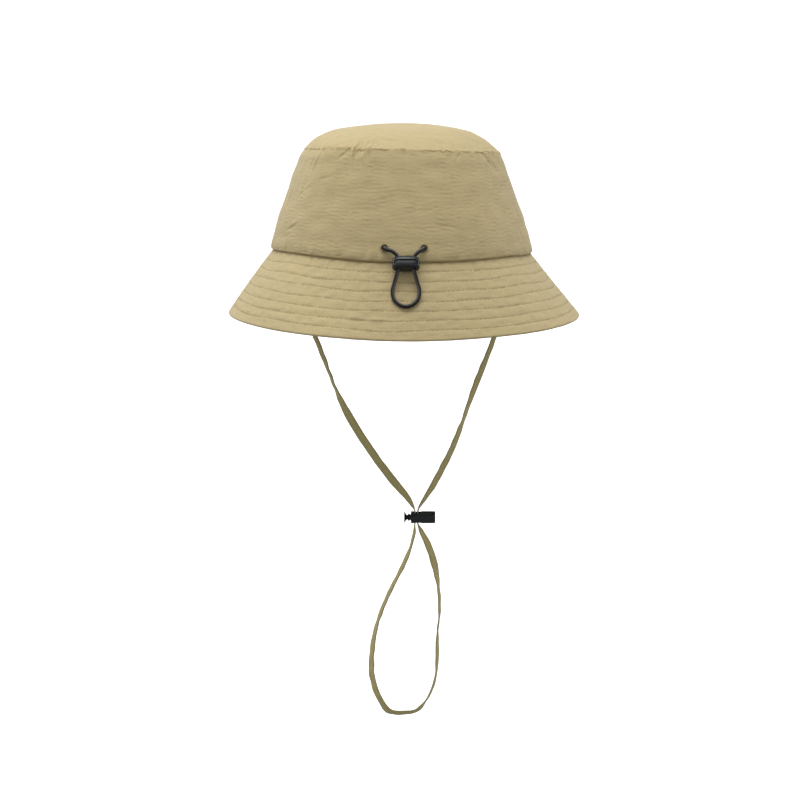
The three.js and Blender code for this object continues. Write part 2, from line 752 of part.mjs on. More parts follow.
function makeLockBarrel() {
  const outline = new THREE.Shape();
  const points = 4 * barrelFlutes;
  for (let step = 0; step < points; step += 1) {
    const angle = 2 * Math.PI * step / points;
    const dip = step % 4 === 2 ? fluteDepth : 0;
    const radius = barrelDiameter / 2 - dip;
    const place = [radius * Math.cos(angle), radius * Math.sin(angle)];
    if (step === 0) {
      outline.moveTo(...place);
    } else {
      outline.lineTo(...place);
    }
  }
  const barrel = new THREE.ExtrudeGeometry(outline, { depth: barrelLength, bevelEnabled: false });
  barrel.rotateY(Math.PI / 2);
  const depth = barrelLength - barrelEndWall;
  const bore = alongX(new THREE.CylinderGeometry(barrelBore / 2, barrelBore / 2, 2 * depth, 24));
  const hole = new THREE.BoxGeometry(strapHoleLength, strapHoleWidth, 2 * barrelDiameter);
  hole.translate(strapHoleStart + strapHoleLength / 2, 0, 0);
  return cut(barrel, [bore, hole]);
}

// Plunger outline from the flared head to the end of the stem: radius and place before the
// barrel's mouth, as shares of the head's radius and of the reach
const plungerProfile = [
  { radius: 1, place: 1 },
  { radius: 0.98, place: 0.9 },
  { radius: 0.62, place: 0.74 },
  { radius: 0.44, place: 0.62 },
  { radius: 0.42, place: 0.48 },
  { radius: 0.69, place: 0.36 },
  { radius: 0.69, place: 0.24 },
  { radius: 0.5, place: 0.18 },
  { radius: 0.5, place: 0.08 },
];

function makeLockPlunger() {
  const head = plungerProfile.map((row) => [
    row.radius * plungerHead / 2,
    -row.place * plungerReach,
  ]);
  const stem = plungerStem / 2;
  const outline = [
    [0, -plungerReach],
    ...head,
    [stem, -plungerProfile.at(-1).place * plungerReach],
    [stem, plungerStemLength],
    [0, plungerStemLength],
  ];
  const plunger = alongX(turned(outline, 16));
  const slot = new THREE.BoxGeometry(plungerSlotLength, plungerSlotWidth, 2 * barrelDiameter);
  slot.translate(plungerSlotStart + plungerSlotLength / 2, 0, 0);
  return cut(plunger, [slot]);
}

function mesh(name, geometry, colour, roughness) {
  const material = new THREE.MeshStandardMaterial({ color: colour, roughness, metalness: 0 });
  const part = new THREE.Mesh(geometry, material);
  part.name = name;
  return part;
}

function makeCrown() {
  const crown = new THREE.Group();
  crown.add(mesh('crown_tip', makeCrownTip(), colours.cloth, 0.85));
  crown.add(mesh('crown_band', makeCrownBand(), colours.cloth, 0.85));
  crown.add(mesh('brim', makeBrim(), colours.cloth, 0.85));
  for (const [side, { centre, normal }] of Object.entries(eyeletPoses)) {
    const eyelet = mesh(`eyelet_${side}`, makeEyelet(), colours.thread, 0.8);
    eyelet.position.copy(centre);
    eyelet.quaternion.setFromUnitVectors(alongY, normal);
    crown.add(eyelet);
  }
  return crown;
}

function makeAdjuster() {
  adjuster.add(mesh('elastic_cord', makeElasticCord(), colours.elastic, 0.7));
  const toggle = new THREE.Group();
  toggle.position.set(0, -toggleDrop, toggleDepth / 2 + toggleLift);
  toggle.add(mesh('toggle_body', makeToggleBody(), colours.plastic, 0.4));
  toggle.add(mesh('toggle_slider', makeToggleSlider(), colours.plastic, 0.4));
  adjuster.add(toggle);
  return adjuster;
}

function makeStrap() {
  const strap = new THREE.Group();
  strap.add(mesh('chin_strap', makeChinStrap(), colours.tape, 0.9));
  const lock = new THREE.Group();
  lock.position.set(lockX, 0, lockZ);
  lock.add(mesh('strap_lock_barrel', makeLockBarrel(), colours.plastic, 0.4));
  lock.add(mesh('strap_lock_plunger', makeLockPlunger(), colours.plastic, 0.4));
  strap.add(lock);
  return strap;
}

const hat = new THREE.Group();
hat.add(makeCrown(), makeAdjuster(), makeStrap());

export default hat;
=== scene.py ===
"""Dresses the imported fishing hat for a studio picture.

Sizes in the classes are millimetres and become metres when a mesh is made. The picture looks
at the back of the hat, which faces -Y, with +X to the right and +Z up. A place on the cloth is
an angle round the hat, anticlockwise from +X, and a share of the way up the piece.
"""

import logging
from dataclasses import dataclass, field
from enum import Enum
from typing import Callable, Sequence, Union

import bpy
import numpy as np
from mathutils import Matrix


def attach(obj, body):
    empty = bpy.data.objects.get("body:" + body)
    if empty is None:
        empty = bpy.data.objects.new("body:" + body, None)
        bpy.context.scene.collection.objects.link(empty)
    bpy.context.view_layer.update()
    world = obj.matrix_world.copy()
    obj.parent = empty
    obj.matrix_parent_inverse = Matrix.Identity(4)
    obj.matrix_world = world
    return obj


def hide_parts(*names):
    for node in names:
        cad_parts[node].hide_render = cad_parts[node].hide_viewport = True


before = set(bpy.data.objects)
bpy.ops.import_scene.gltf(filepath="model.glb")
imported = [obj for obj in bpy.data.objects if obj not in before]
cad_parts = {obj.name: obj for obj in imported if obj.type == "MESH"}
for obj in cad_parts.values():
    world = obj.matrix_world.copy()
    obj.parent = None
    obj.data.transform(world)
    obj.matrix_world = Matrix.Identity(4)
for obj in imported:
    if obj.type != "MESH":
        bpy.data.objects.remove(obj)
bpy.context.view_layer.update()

Array = np.ndarray
Number = Union[float, Array]
Pair = tuple[Array, Array]
Triple = tuple[Array, Array, Array]
Size = tuple[float, float, float]
Row = tuple[float, ...]
Piece = bpy.types.Object
Material = bpy.types.Material
Node = bpy.types.Node
Socket = bpy.types.NodeSocket
Value = Union[Socket, float]
Colour = Union[Socket, Sequence[float]]
Inputs = dict[Union[int, str], object]
MM = 0.001
TURN = 2 * np.pi
BACK = 1.5 * np.pi
CRISP = (0.01, 0.01)
LOG = logging.getLogger("fishing_hat")


class Slot(Enum):
    """Material slots of the record, one for each kind of finish."""

    CLOTH = "cloth"
    THREAD = "thread"
    TAPE = "tape"
    ELASTIC = "elastic"
    PLASTIC = "plastic"


class Body(Enum):
    """Bodies of the model that the pieces ride on."""

    HAT = "hat"
    BUTTON = "toggle_button"
    PLUNGER = "lock_plunger"


class Side(Enum):
    """The two halves of a piece that is alike left and right, as the sign of x."""

    LEFT = -1
    RIGHT = 1


# Maths shared by the shapes


def ramp(value: Number, low: float, high: float) -> Array:
    """Smooth step from 0 at low to 1 at high: t * t * (3 - 2 t) of the clipped share t."""
    share = np.clip((np.asarray(value, float) - low) / (high - low), 0, 1)
    return share * share * (3 - 2 * share)


def bell(value: Number, width: float) -> Array:
    """Bell curve exp(-(value / width) squared)."""
    return np.exp(-((np.asarray(value, float) / width) ** 2))


def mix(low: Number, high: Number, share: Number) -> Array:
    """Straight blend from low to high."""
    return low + (high - low) * share


def unit(vectors: Array) -> Array:
    """Vectors scaled to length one along their last axis."""
    return vectors / np.linalg.norm(vectors, axis=-1, keepdims=True)


def smooth_column(places: Sequence[float], values: Sequence[float], at: Number) -> Array:
    """Monotone cubic through the rows of a table.

    Each inner tangent is the harmonic mean of the slopes beside it, or 0 where they turn, and
    the cubic between two rows is the Hermite one: it never overshoots the table.

    Args:
        places: where the rows stand, rising.
        values: what they say.
        at: where to read.

    Returns:
        The curve's value at each place.
    """
    places = np.asarray(places, float)
    values = np.asarray(values, float)
    steps = np.diff(places)
    slopes = np.diff(values) / steps
    product = slopes[:-1] * slopes[1:]
    total = np.where(product > 0, slopes[:-1] + slopes[1:], 1)
    inner = np.where(product > 0, 2 * product / total, 0)
    tangents = np.concatenate([slopes[:1], inner, slopes[-1:]])
    at = np.asarray(at, float)
    index = np.clip(np.searchsorted(places, at) - 1, 0, len(steps) - 1)
    t = np.clip((at - places[index]) / steps[index], 0, 1)
    step = steps[index]
    start = (1 + 2 * t) * (1 - t) ** 2 * values[index]
    start = start + t * (1 - t) ** 2 * step * tangents[index]
    end = t * t * (3 - 2 * t) * values[index + 1]
    return start + end + t * t * (t - 1) * step * tangents[index + 1]


def oval(half_width: Number, half_length: Number, power: Number, angle: Array) -> Pair:
    """Point of a squared oval: half size times sign times the power 2/n of cosine and sine.

    Args:
        half_width: half its size along x.
        half_length: half its size along y.
        power: the n above, 2 for an ellipse and more for a squarer oval.
        angle: direction of the point.

    Returns:
        Its x and y.
    """
    cosine, sine = np.cos(angle), np.sin(angle)
    x = half_width * np.sign(cosine) * np.abs(cosine) ** (2 / power)
    y = half_length * np.sign(sine) * np.abs(sine) ** (2 / power)
    return x, y


def oval_outward(
    half_width: Number, half_length: Number, power: Number, x: Array, y: Array
) -> Pair:
    """Level direction straight out of a squared oval: the slope of |x/a|^n + |y/b|^n.

    Args:
        half_width: a, half the oval's size along x.
        half_length: b, half its size along y.
        power: n, how square it is.
        x: the point's x.
        y: the point's y.

    Returns:
        The direction's x and y, of length one.
    """
    out_x = np.sign(x) * np.abs(x / half_width) ** (power - 1) / half_width
    out_y = np.sign(y) * np.abs(y / half_length) ** (power - 1) / half_length
    length = np.hypot(out_x, out_y)
    return out_x / length, out_y / length


def turn_from(angle: Array, turn: Number) -> Array:
    """Angle from a direction in degrees, between minus half a turn and half a turn."""
    away = angle - np.radians(turn)
    return np.arctan2(np.sin(away), np.cos(away))


def path_length(path: Array) -> Array:
    """Distance along a path at each of its points."""
    steps = np.linalg.norm(np.diff(path, axis=0), axis=1)
    return np.concatenate([[0], np.cumsum(steps)])


def curve_through(points: Array, fine: int) -> Array:
    """Smooth curve through points: a centripetal Catmull-Rom spline.

    With t growing by the square root of each chord, the tangent at a point is the slope to it,
    plus the slope from it, minus the slope across it, and each stretch is a Hermite cubic.

    Args:
        points: the chosen points, one row each.
        fine: steps between two of them.

    Returns:
        The curve's points.
    """
    ends = np.concatenate([[2 * points[0] - points[1]], points, [2 * points[-1] - points[-2]]])
    knots = np.sqrt(np.linalg.norm(np.diff(ends, axis=0), axis=1))[:, None]
    before, here, after = knots[:-2], knots[1:-1], knots[2:]
    a, b, c, d = ends[:-3], ends[1:-2], ends[2:-1], ends[3:]
    start = here * ((b - a) / before - (c - a) / (before + here) + (c - b) / here)
    end = here * ((c - b) / here - (d - b) / (here + after) + (d - c) / after)
    t = (np.arange(fine) / fine)[None, :, None]
    b, c, start, end = (side[:, None, :] for side in (b, c, start, end))
    curve = (2 * t**3 - 3 * t**2 + 1) * b + (t**3 - 2 * t**2 + t) * start
    curve = curve + (3 * t**2 - 2 * t**3) * c + (t**3 - t**2) * end
    return np.concatenate([curve.reshape(-1, 3), points[-1:]])


def resample(path: Array, step: float) -> Array:
    """Points of a path at even distances along it.

    Args:
        path: its points.
        step: about the distance between two of the new ones.

    Returns:
        The new points, with the same ends.
    """
    along = path_length(path)
    places = np.linspace(0, along[-1], max(int(round(along[-1] / step)), 2) + 1)
    return np.stack([np.interp(places, along, path[:, axis]) for axis in range(3)], -1)


def carried_frames(path: Array, first: Array) -> Triple:
    """Frames carried along a path without turning about it.

    Each frame's side is the one before it, less its part along the new tangent.

    Args:
        path: the points of the path.
        first: rough direction of the first side.

    Returns:
        Tangents, sides and the directions square to both.
    """
    tangents = unit(np.gradient(path, axis=0))
    sides = np.empty_like(path)
    side = np.asarray(first, float)
    for index, tangent in enumerate(tangents):
        side = unit(side - tangent * (side @ tangent))
        sides[index] = side
    return tangents, sides, np.cross(tangents, sides)


@dataclass(frozen=True)
class Waves:
    """Smooth random relief, a sum of plane waves of unit spread.

    Each wave is the cosine of its own direction's distance plus its own phase. Its length lies
    between the stated one and about two and a half times that. With a level share the waves
    all lie nearly level, their rate along being at least that share of the full one.
    """

    seed: int
    across: float
    along: float
    count: int = 70
    closed: float = 0.0
    level: float = 0.0

    def at(self, u: Array, v: Array) -> Array:
        """Relief at places on the cloth.

        Args:
            u: distance across, over which the relief closes if closed is its girth.
            v: distance along.

        Returns:
            The sum of the waves.
        """
        random = np.random.default_rng(self.seed)
        heading = random.uniform(0, TURN, self.count)
        reach = np.sqrt(random.uniform(0.15, 1, self.count))
        phase = random.uniform(0, TURN, self.count)
        per_u = reach * np.cos(heading) / self.across
        per_v = reach * np.sin(heading) / self.along
        if self.level:
            per_u = random.normal(0, 0.5, self.count) / self.across
            per_v = random.uniform(self.level, 1, self.count) / self.along
        if self.closed:
            per_u = np.round(per_u * self.closed) / self.closed
        u, v = np.broadcast_arrays(np.asarray(u, float), np.asarray(v, float))
        total = np.zeros(u.shape)
        for wave in range(self.count):
            total += np.cos(TURN * (per_u[wave] * u + per_v[wave] * v) + phase[wave])
        return total * np.sqrt(2 / self.count)


# Meshes


@dataclass
class MeshData:
    """Points, faces, UVs and groove values gathered for one mesh."""

    points: list[Array] = field(default_factory=list)
    faces: list[Array] = field(default_factory=list)
    uvs: list[Array] = field(default_factory=list)
    grooves: list[Array] = field(default_factory=list)
    size: int = 0

    def add(
        self,
        points: Array,
        faces: Sequence[Array],
        uvs: Sequence[Array],
        groove: Array | None = None,
    ) -> None:
        """Adds a patch, its faces counted from its own first point.

        Args:
            points: its points, in millimetres.
            faces: arrays of triangles or quads.
            uvs: for each of those, the UV of every corner, in millimetres.
            groove: how deep each point lies in a groove, from 0 to 1.
        """
        self.points.append(points)
        self.faces.extend(face + self.size for face in faces)
        self.uvs.extend(uvs)
        self.grooves.append(np.zeros(len(points)) if groove is None else groove)
        self.size += len(points)

    def volume(self) -> float:
        """Signed volume: a sixth of the sum of each triangle's triple product."""
        points = np.concatenate(self.points)
        total = 0.0
        for face in self.faces:
            for corner in range(1, face.shape[1] - 1):
                a, b, c = (points[face[:, index]] for index in (0, corner, corner + 1))
                total += float(np.einsum("ij,ij->", a, np.cross(b, c)))
        return total / 6

    def build(self, name: str) -> Piece:
        """Makes the object, its faces turned outward.

        Args:
            name: the piece's name.

        Returns:
            The new object, linked to the scene.
        """
        if self.volume() < 0:
            self.faces = [face[:, ::-1] for face in self.faces]
            self.uvs = [uv[:, ::-1] for uv in self.uvs]
        points = np.concatenate(self.points) * MM
        corners = np.concatenate([face.ravel() for face in self.faces])
        sizes = np.concatenate([np.full(len(face), face.shape[1]) for face in self.faces])
        starts = np.concatenate([[0], np.cumsum(sizes)[:-1]])
        mesh = bpy.data.meshes.new(name)
        mesh.vertices.add(len(points))
        mesh.vertices.foreach_set("co", points.astype(np.float32).ravel())
        mesh.loops.add(len(corners))
        mesh.loops.foreach_set("vertex_index", corners.astype(np.int32))
        mesh.polygons.add(len(sizes))
        mesh.polygons.foreach_set("loop_start", starts.astype(np.int32))
        mesh.polygons.foreach_set("use_smooth", np.ones(len(sizes), bool))
        layer = mesh.uv_layers.new(name="Surface")
        uv = np.concatenate([uv.reshape(-1, 2) for uv in self.uvs]) * MM
        layer.data.foreach_set("uv", uv.astype(np.float32).ravel())
        groove = mesh.attributes.new("groove", "FLOAT", "POINT")
        groove.data.foreach_set("value", np.concatenate(self.grooves).astype(np.float32))
        mesh.update(calc_edges=True)
        mesh.validate()
        piece = bpy.data.objects.new(name, mesh)
        bpy.context.scene.collection.objects.link(piece)
        return piece


def corners(values: Array) -> Array:
    """The four corner values of each cell of a grid, anticlockwise."""
    return np.stack([values[:-1, :-1], values[:-1, 1:], values[1:, 1:], values[1:, :-1]], 2)


def add_grid(
    data: MeshData,
    grid: Array,
    uv: Array,
    groove: Array | None = None,
    loop_rows: bool = False,
    poles: bool = False,
) -> None:
    """Adds a closed surface worked out on a grid whose columns run once round it.

    Args:
        data: the mesh that it goes into.
        grid: points by row and column.
        uv: UV by row and column, with one column more than the grid, and one row more where
            the rows close too.
        groove: groove value by row and column.
        loop_rows: joins the last row to the first one.
        poles: closes the first and last rows in one point each.
    """
    rows, columns = grid.shape[:2]
    index = np.arange(rows * columns).reshape(rows, columns)
    if poles:
        index[1:] -= columns - 1
        index[0] = 0
        index[-1] = index[-2, -1] + 1
    index = np.concatenate([index, index[:, :1]], axis=1)
    if loop_rows:
        index = np.concatenate([index, index[:1]], axis=0)
    faces, places = corners(index), corners(uv)
    values = np.zeros((rows, columns)) if groove is None else groove
    if not poles:
        whole = [faces.reshape(-1, 4)], [places.reshape(-1, 4, 2)]
        data.add(grid.reshape(-1, 3), *whole, values.ravel())
        return
    points = np.concatenate([grid[:1, 0], grid[1:-1].reshape(-1, 3), grid[-1:, 0]])
    values = np.concatenate([values[:1, 0], values[1:-1].ravel(), values[-1:, 0]])
    first, last = [0, 2, 3], [0, 1, 2]
    face_list = [faces[0][:, first], faces[1:-1].reshape(-1, 4), faces[-1][:, last]]
    uv_list = [places[0][:, first], places[1:-1].reshape(-1, 4, 2), places[-1][:, last]]
    data.add(points, face_list, uv_list, values)


def grid_uv(grid: Array, girth: float, loop_rows: bool = False) -> Array:
    """UV of a grid: the share of its girth round it, and the mean distance along its rows.

    Args:
        grid: points by row and column.
        girth: distance round it.
        loop_rows: adds the row that closes it.

    Returns:
        The UV by row and column, in millimetres.
    """
    closed = np.concatenate([grid, grid[:1]]) if loop_rows else grid
    steps = np.linalg.norm(np.diff(closed, axis=0), axis=2).mean(axis=1)
    v = np.concatenate([[0], np.cumsum(steps)])
    u = np.linspace(0, girth, grid.shape[1] + 1)
    return np.stack(np.broadcast_arrays(u[None, :], v[:, None]), -1)


def add_tube(data: MeshData, path: Array, frames: Triple, section: Array) -> None:
    """Adds a closed tube: a section carried along a path, its ends closed in a point.

    Args:
        data: the mesh that it goes into.
        path: points of the middle line.
        frames: tangents, sides and the directions square to both.
        section: for each point of the path, the section's points as distances along the side
            and along the square direction.
    """
    _, sides, squares = frames
    rings = path[:, None] + section[..., :1] * sides[:, None] + section[..., 1:] * squares[:, None]
    count = section.shape[1]
    ends = [np.repeat(path[index][None, None], count, axis=1) for index in (0, -1)]
    grid = np.concatenate([ends[0], rings, ends[1]])
    girth = float(np.linalg.norm(np.diff(section[len(section) // 2], axis=0), axis=1).sum())
    add_grid(data, grid, grid_uv(grid, girth), poles=True)


def carve(piece: Piece, cutters: Sequence[Piece], edge: float, sharp: float = 38) -> Piece:
    """Cuts shapes out of a piece, rounds the new edges and keeps the result as its mesh.

    Args:
        piece: what is cut.
        cutters: the shapes cut out of it, which are removed.
        edge: width of the rounded edges in millimetres, or 0 for none.
        sharp: angle in degrees from which an edge counts as one.

    Returns:
        The piece.
    """
    for cutter in cutters:
        boolean = piece.modifiers.new("Cut", "BOOLEAN")
        boolean.operation = "DIFFERENCE"
        boolean.solver = "EXACT"
        boolean.object = cutter
    if edge:
        bevel = piece.modifiers.new("Edges", "BEVEL")
        bevel.width = edge * MM
        bevel.segments = 2
        bevel.limit_method = "ANGLE"
        bevel.angle_limit = np.radians(sharp)
    evaluated = piece.evaluated_get(bpy.context.evaluated_depsgraph_get())
    mesh = bpy.data.meshes.new_from_object(evaluated)
    piece.modifiers.clear()
    piece.data = mesh
    mesh.polygons.foreach_set("use_smooth", np.ones(len(mesh.polygons), bool))
    mesh.set_sharp_from_angle(angle=np.radians(sharp))
    for cutter in cutters:
        bpy.data.objects.remove(cutter)
    return piece


def dress(piece: Piece, body: Body, slot: Slot, finish: Material, *nodes: str) -> None:
    """Gives a piece its finish and the body it rides on, and hides the nodes it stands for.

    Args:
        piece: the finished piece.
        body: the body that it moves with.
        slot: the record's slot of its finish; not used.
        finish: its material.
        nodes: the solids that it replaces.
    """
    piece.data.materials.clear()
    piece.data.materials.append(finish)
    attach(piece, body.value)
    if nodes:
        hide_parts(*nodes)
    LOG.info("%s: %d faces, on %s", piece.name, len(piece.data.polygons), body.value)


# Finishes


class Graph:
    """Short-hand for adding nodes to a material or a node group."""

    def __init__(self, tree: bpy.types.NodeTree) -> None:
        """Keeps the tree, emptied."""
        self.tree = tree
        self.link = tree.links.new
        tree.nodes.clear()

    def node(self, kind: str, inputs: Inputs | None = None, **settings: object) -> Node:
        """Adds a node, with each input linked or set.

        Args:
            kind: the node's type, without its common first word.
            inputs: sockets to link, or values to set, by name or number.
            settings: the node's own options.

        Returns:
            The node.
        """
        node = self.tree.nodes.new("ShaderNode" + kind)
        for key, value in settings.items():
            setattr(node, key, value)
        for key, value in (inputs or {}).items():
            if isinstance(value, Socket):
                self.link(value, node.inputs[key])
            else:
                node.inputs[key].default_value = value
        return node

    def maths(self, operation: str, *values: Value) -> Socket:
        """Adds a Math node and returns its result."""
        return self.node("Math", dict(enumerate(values)), operation=operation).outputs[0]

    def blend(self, factor: Value, low: Colour, high: Colour, kind: str = "MIX") -> Socket:
        """Adds a colour mix and returns its result."""
        inputs = {0: factor, 6: low, 7: high}
        return self.node("Mix", inputs, data_type="RGBA", blend_type=kind).outputs[2]

    def paint(self, shader: Node, factor: Socket, low: Row, high: Row) -> None:
        """Links a blend of two plain colours to a shader's base colour."""
        self.link(self.blend(factor, (*low, 1), (*high, 1)), shader.inputs["Base Color"])

    def spread(self, value: Socket, low: float, high: float, start: float, end: float) -> Socket:
        """Adds a clamped range change and returns its result."""
        return self.node("MapRange", {0: value, 1: low, 2: high, 3: start, 4: end}).outputs[0]

    def noise(self, vector: Socket, scale: Value, detail: float = 2.0, bend: float = 0.0) -> Socket:
        """Adds a noise texture and returns its value."""
        inputs = {"Vector": vector, "Scale": scale, "Detail": detail, "Distortion": bend}
        return self.node("TexNoise", inputs).outputs[0]

    def ripple(self, phase: Socket) -> Socket:
        """Adds half of one plus the sine of a phase and returns it."""
        return self.maths("MULTIPLY_ADD", self.maths("SINE", phase), 0.5, 0.5)

    def surface(self) -> Socket:
        """Adds the piece's own UV, in metres."""
        return self.node("UVMap", uv_map="Surface").outputs[0]

    def place(self) -> Socket:
        """Adds the place in the object's own frame, in metres."""
        return self.node("TexCoord").outputs["Object"]

    def groove(self) -> Socket:
        """Adds the value that says how deep a place lies in a groove."""
        return self.node("Attribute", attribute_name="groove").outputs["Fac"]

    def bump(
        self,
        shader: Node,
        height: Socket,
        distance: float,
        strength: float,
        under: Socket | None = None,
    ) -> Socket:
        """Adds a bump and links it to a shader.

        Args:
            shader: the shader whose normal it bends.
            height: the height, from 0 to 1.
            distance: what a height of 1 stands for, in metres.
            strength: how much of it is taken.
            under: the normal that it starts from.

        Returns:
            The bent normal.
        """
        inputs = {"Height": height, "Distance": distance, "Strength": strength}
        if under is not None:
            inputs["Normal"] = under
        normal = self.node("Bump", inputs).outputs[0]
        self.link(normal, shader.inputs["Normal"])
        return normal


class Pattern:
    """A node group with named inputs and outputs, built once and used by several finishes."""

    def __init__(self, name: str, inputs: dict[str, float], outputs: Sequence[str]) -> None:
        """Makes the empty group.

        Args:
            name: the group's name.
            inputs: its number inputs with their usual values; a Vector input comes first.
            outputs: its number outputs.
        """
        self.tree = bpy.data.node_groups.new(name, "ShaderNodeTree")
        face = self.tree.interface
        face.new_socket("Vector", in_out="INPUT", socket_type="NodeSocketVector")
        for label, value in inputs.items():
            socket = face.new_socket(label, in_out="INPUT", socket_type="NodeSocketFloat")
            socket.default_value = value
        for label in outputs:
            face.new_socket(label, in_out="OUTPUT", socket_type="NodeSocketFloat")
        self.graph = Graph(self.tree)
        self.inputs = self.tree.nodes.new("NodeGroupInput").outputs
        self.outputs = self.tree.nodes.new("NodeGroupOutput").inputs

    def give(self, label: str, value: Socket) -> None:
        """Links a result to one of the group's outputs."""
        self.graph.link(value, self.outputs[label])

    def use(self, graph: Graph, vector: Socket, **values: float) -> Node:
        """Places the group in a finish.

        Args:
            graph: the finish's graph.
            vector: the places that the pattern follows.
            values: its inputs, by name.

        Returns:
            The group's node.
        """
        inputs = {"Vector": vector, **values}
        return graph.node("Group", inputs, node_tree=self.tree)


def crinkle_pattern() -> Pattern:
    """Fine creases of thin cloth: two stretched noises, one of them folded into sharp lines."""
    pattern = Pattern("Cloth crinkle", {"Across": 130.0, "Along": 520.0}, ["Height", "Crease"])
    graph, inputs = pattern.graph, pattern.inputs
    scale = graph.node("CombineXYZ", {0: inputs["Across"], 1: inputs["Along"]}).outputs[0]
    places = graph.node("VectorMath", {0: inputs["Vector"], 1: scale}, operation="MULTIPLY")
    soft = graph.noise(places.outputs[0], 1.0, 3.0, 0.4)
    fold = graph.noise(places.outputs[0], 0.62, 2.0, 0.8)
    away = graph.maths("ABSOLUTE", graph.maths("SUBTRACT", fold, 0.5))
    line = graph.spread(away, 0.0, 0.05, 1.0, 0.0)
    gate = graph.spread(soft, 0.48, 0.62, 0.0, 1.0)
    crease = graph.maths("MULTIPLY", line, gate)
    height = graph.maths("SUBTRACT", soft, graph.maths("MULTIPLY", crease, 0.35))
    pattern.give("Height", height)
    pattern.give("Crease", crease)
    return pattern


def weave_pattern() -> Pattern:
    """Plain weave: the sine across times the sine along, so threads pass over and under."""
    pattern = Pattern("Plain weave", {"Threads": 2200.0, "Slant": 0.0}, ["Height", "Thread"])
    graph, inputs = pattern.graph, pattern.inputs
    parts = graph.node("SeparateXYZ", {0: inputs["Vector"]}).outputs
    u = graph.maths("MULTIPLY", parts[0], inputs["Threads"])
    v = graph.maths("MULTIPLY", parts[1], inputs["Threads"])
    leaned = graph.maths("MULTIPLY_ADD", u, inputs["Slant"], v)
    over = graph.maths("MULTIPLY", graph.maths("SINE", u), graph.maths("SINE", leaned))
    pattern.give("Height", graph.maths("MULTIPLY_ADD", over, 0.5, 0.5))
    fuzz = graph.noise(inputs["Vector"], 1800.0)
    pattern.give("Thread", graph.maths("MULTIPLY_ADD", over, 0.25, fuzz))
    return pattern


def mottle_pattern() -> Pattern:
    """Uneven tone: broad and fine noise added together, around one."""
    pattern = Pattern("Mottled tone", {"Scale": 20.0, "Amount": 0.1}, ["Tone"])
    graph, inputs = pattern.graph, pattern.inputs
    broad = graph.noise(inputs["Vector"], inputs["Scale"], 4.0)
    fine = graph.noise(inputs["Vector"], 900.0)
    both = graph.maths("MULTIPLY_ADD", fine, 0.35, broad)
    centred = graph.maths("SUBTRACT", both, 0.675)
    pattern.give("Tone", graph.maths("MULTIPLY_ADD", centred, inputs["Amount"], 1.0))
    return pattern


@dataclass(frozen=True)
class Patterns:
    """The node groups that the finishes share."""

    crinkle: Pattern = field(default_factory=crinkle_pattern)
    weave: Pattern = field(default_factory=weave_pattern)
    mottle: Pattern = field(default_factory=mottle_pattern)


def shaded(name: str, **sockets: object) -> tuple[Material, Graph, Node]:
    """Makes a material with one Principled shader.

    Args:
        name: the material's name.
        sockets: the shader's uniform values, by socket name with spaces as underscores.

    Returns:
        The material, its graph and its shader.
    """
    material = bpy.data.materials.new(name)
    material.use_nodes = True
    graph = Graph(material.node_tree)
    shader = graph.node("BsdfPrincipled")
    for label, value in sockets.items():
        shader.inputs[label.replace("_", " ")].default_value = value
    output = graph.node("OutputMaterial")
    graph.link(shader.outputs[0], output.inputs[0])
    return material, graph, shader


@dataclass(frozen=True)
class ClothFinish:
    """Thin crinkled nylon: fine creases, a close weave and a soft sheen."""

    patterns: Patterns
    colour: Row = (0.475, 0.385, 0.202)
    # shade is the painted shade colour of grooves, seams and creases
    shade: Row = (0.29, 0.215, 0.09)
    crinkle_depth: float = 0.00019
    weave_depth: float = 0.00003

    def material(self) -> Material:
        """Makes the material: painted shade in grooves and creases, weave and crinkle bumps."""
        values = dict(Sheen_Weight=0.12, Sheen_Roughness=0.45, Specular_IOR_Level=0.28)
        material, graph, shader = shaded("Crinkled cloth", **values)
        uv = graph.surface()
        place = graph.place()
        groove = graph.groove()
        crinkle = self.patterns.crinkle.use(graph, uv)
        weave = self.patterns.weave.use(graph, uv, Threads=9000.0)
        mottle = self.patterns.mottle.use(graph, place, Scale=18.0, Amount=0.16)
        # Painted shade: darker in grooves, along the seams, under the stitch rows and in the fine
        # creases
        colour = graph.blend(groove, (*self.colour, 1), (*self.shade, 1))
        crease = graph.maths("MULTIPLY", crinkle.outputs["Crease"], 0.22)
        colour = graph.blend(crease, colour, (*self.shade, 1))
        thread = graph.spread(weave.outputs["Thread"], 0.2, 0.8, 0.965, 1.035)
        tone = graph.maths("MULTIPLY", mottle.outputs["Tone"], thread)
        tint = graph.node("CombineColor", {0: tone, 1: tone, 2: tone}).outputs[0]
        graph.link(graph.blend(1.0, colour, tint, "MULTIPLY"), shader.inputs["Base Color"])
        rough = graph.spread(crinkle.outputs["Height"], 0.35, 0.65, 0.78, 0.66)
        graph.link(rough, shader.inputs["Roughness"])
        fine = graph.bump(shader, weave.outputs["Height"], self.weave_depth, 0.5)
        graph.bump(shader, crinkle.outputs["Height"], self.crinkle_depth, 1.0, fine)
        return material


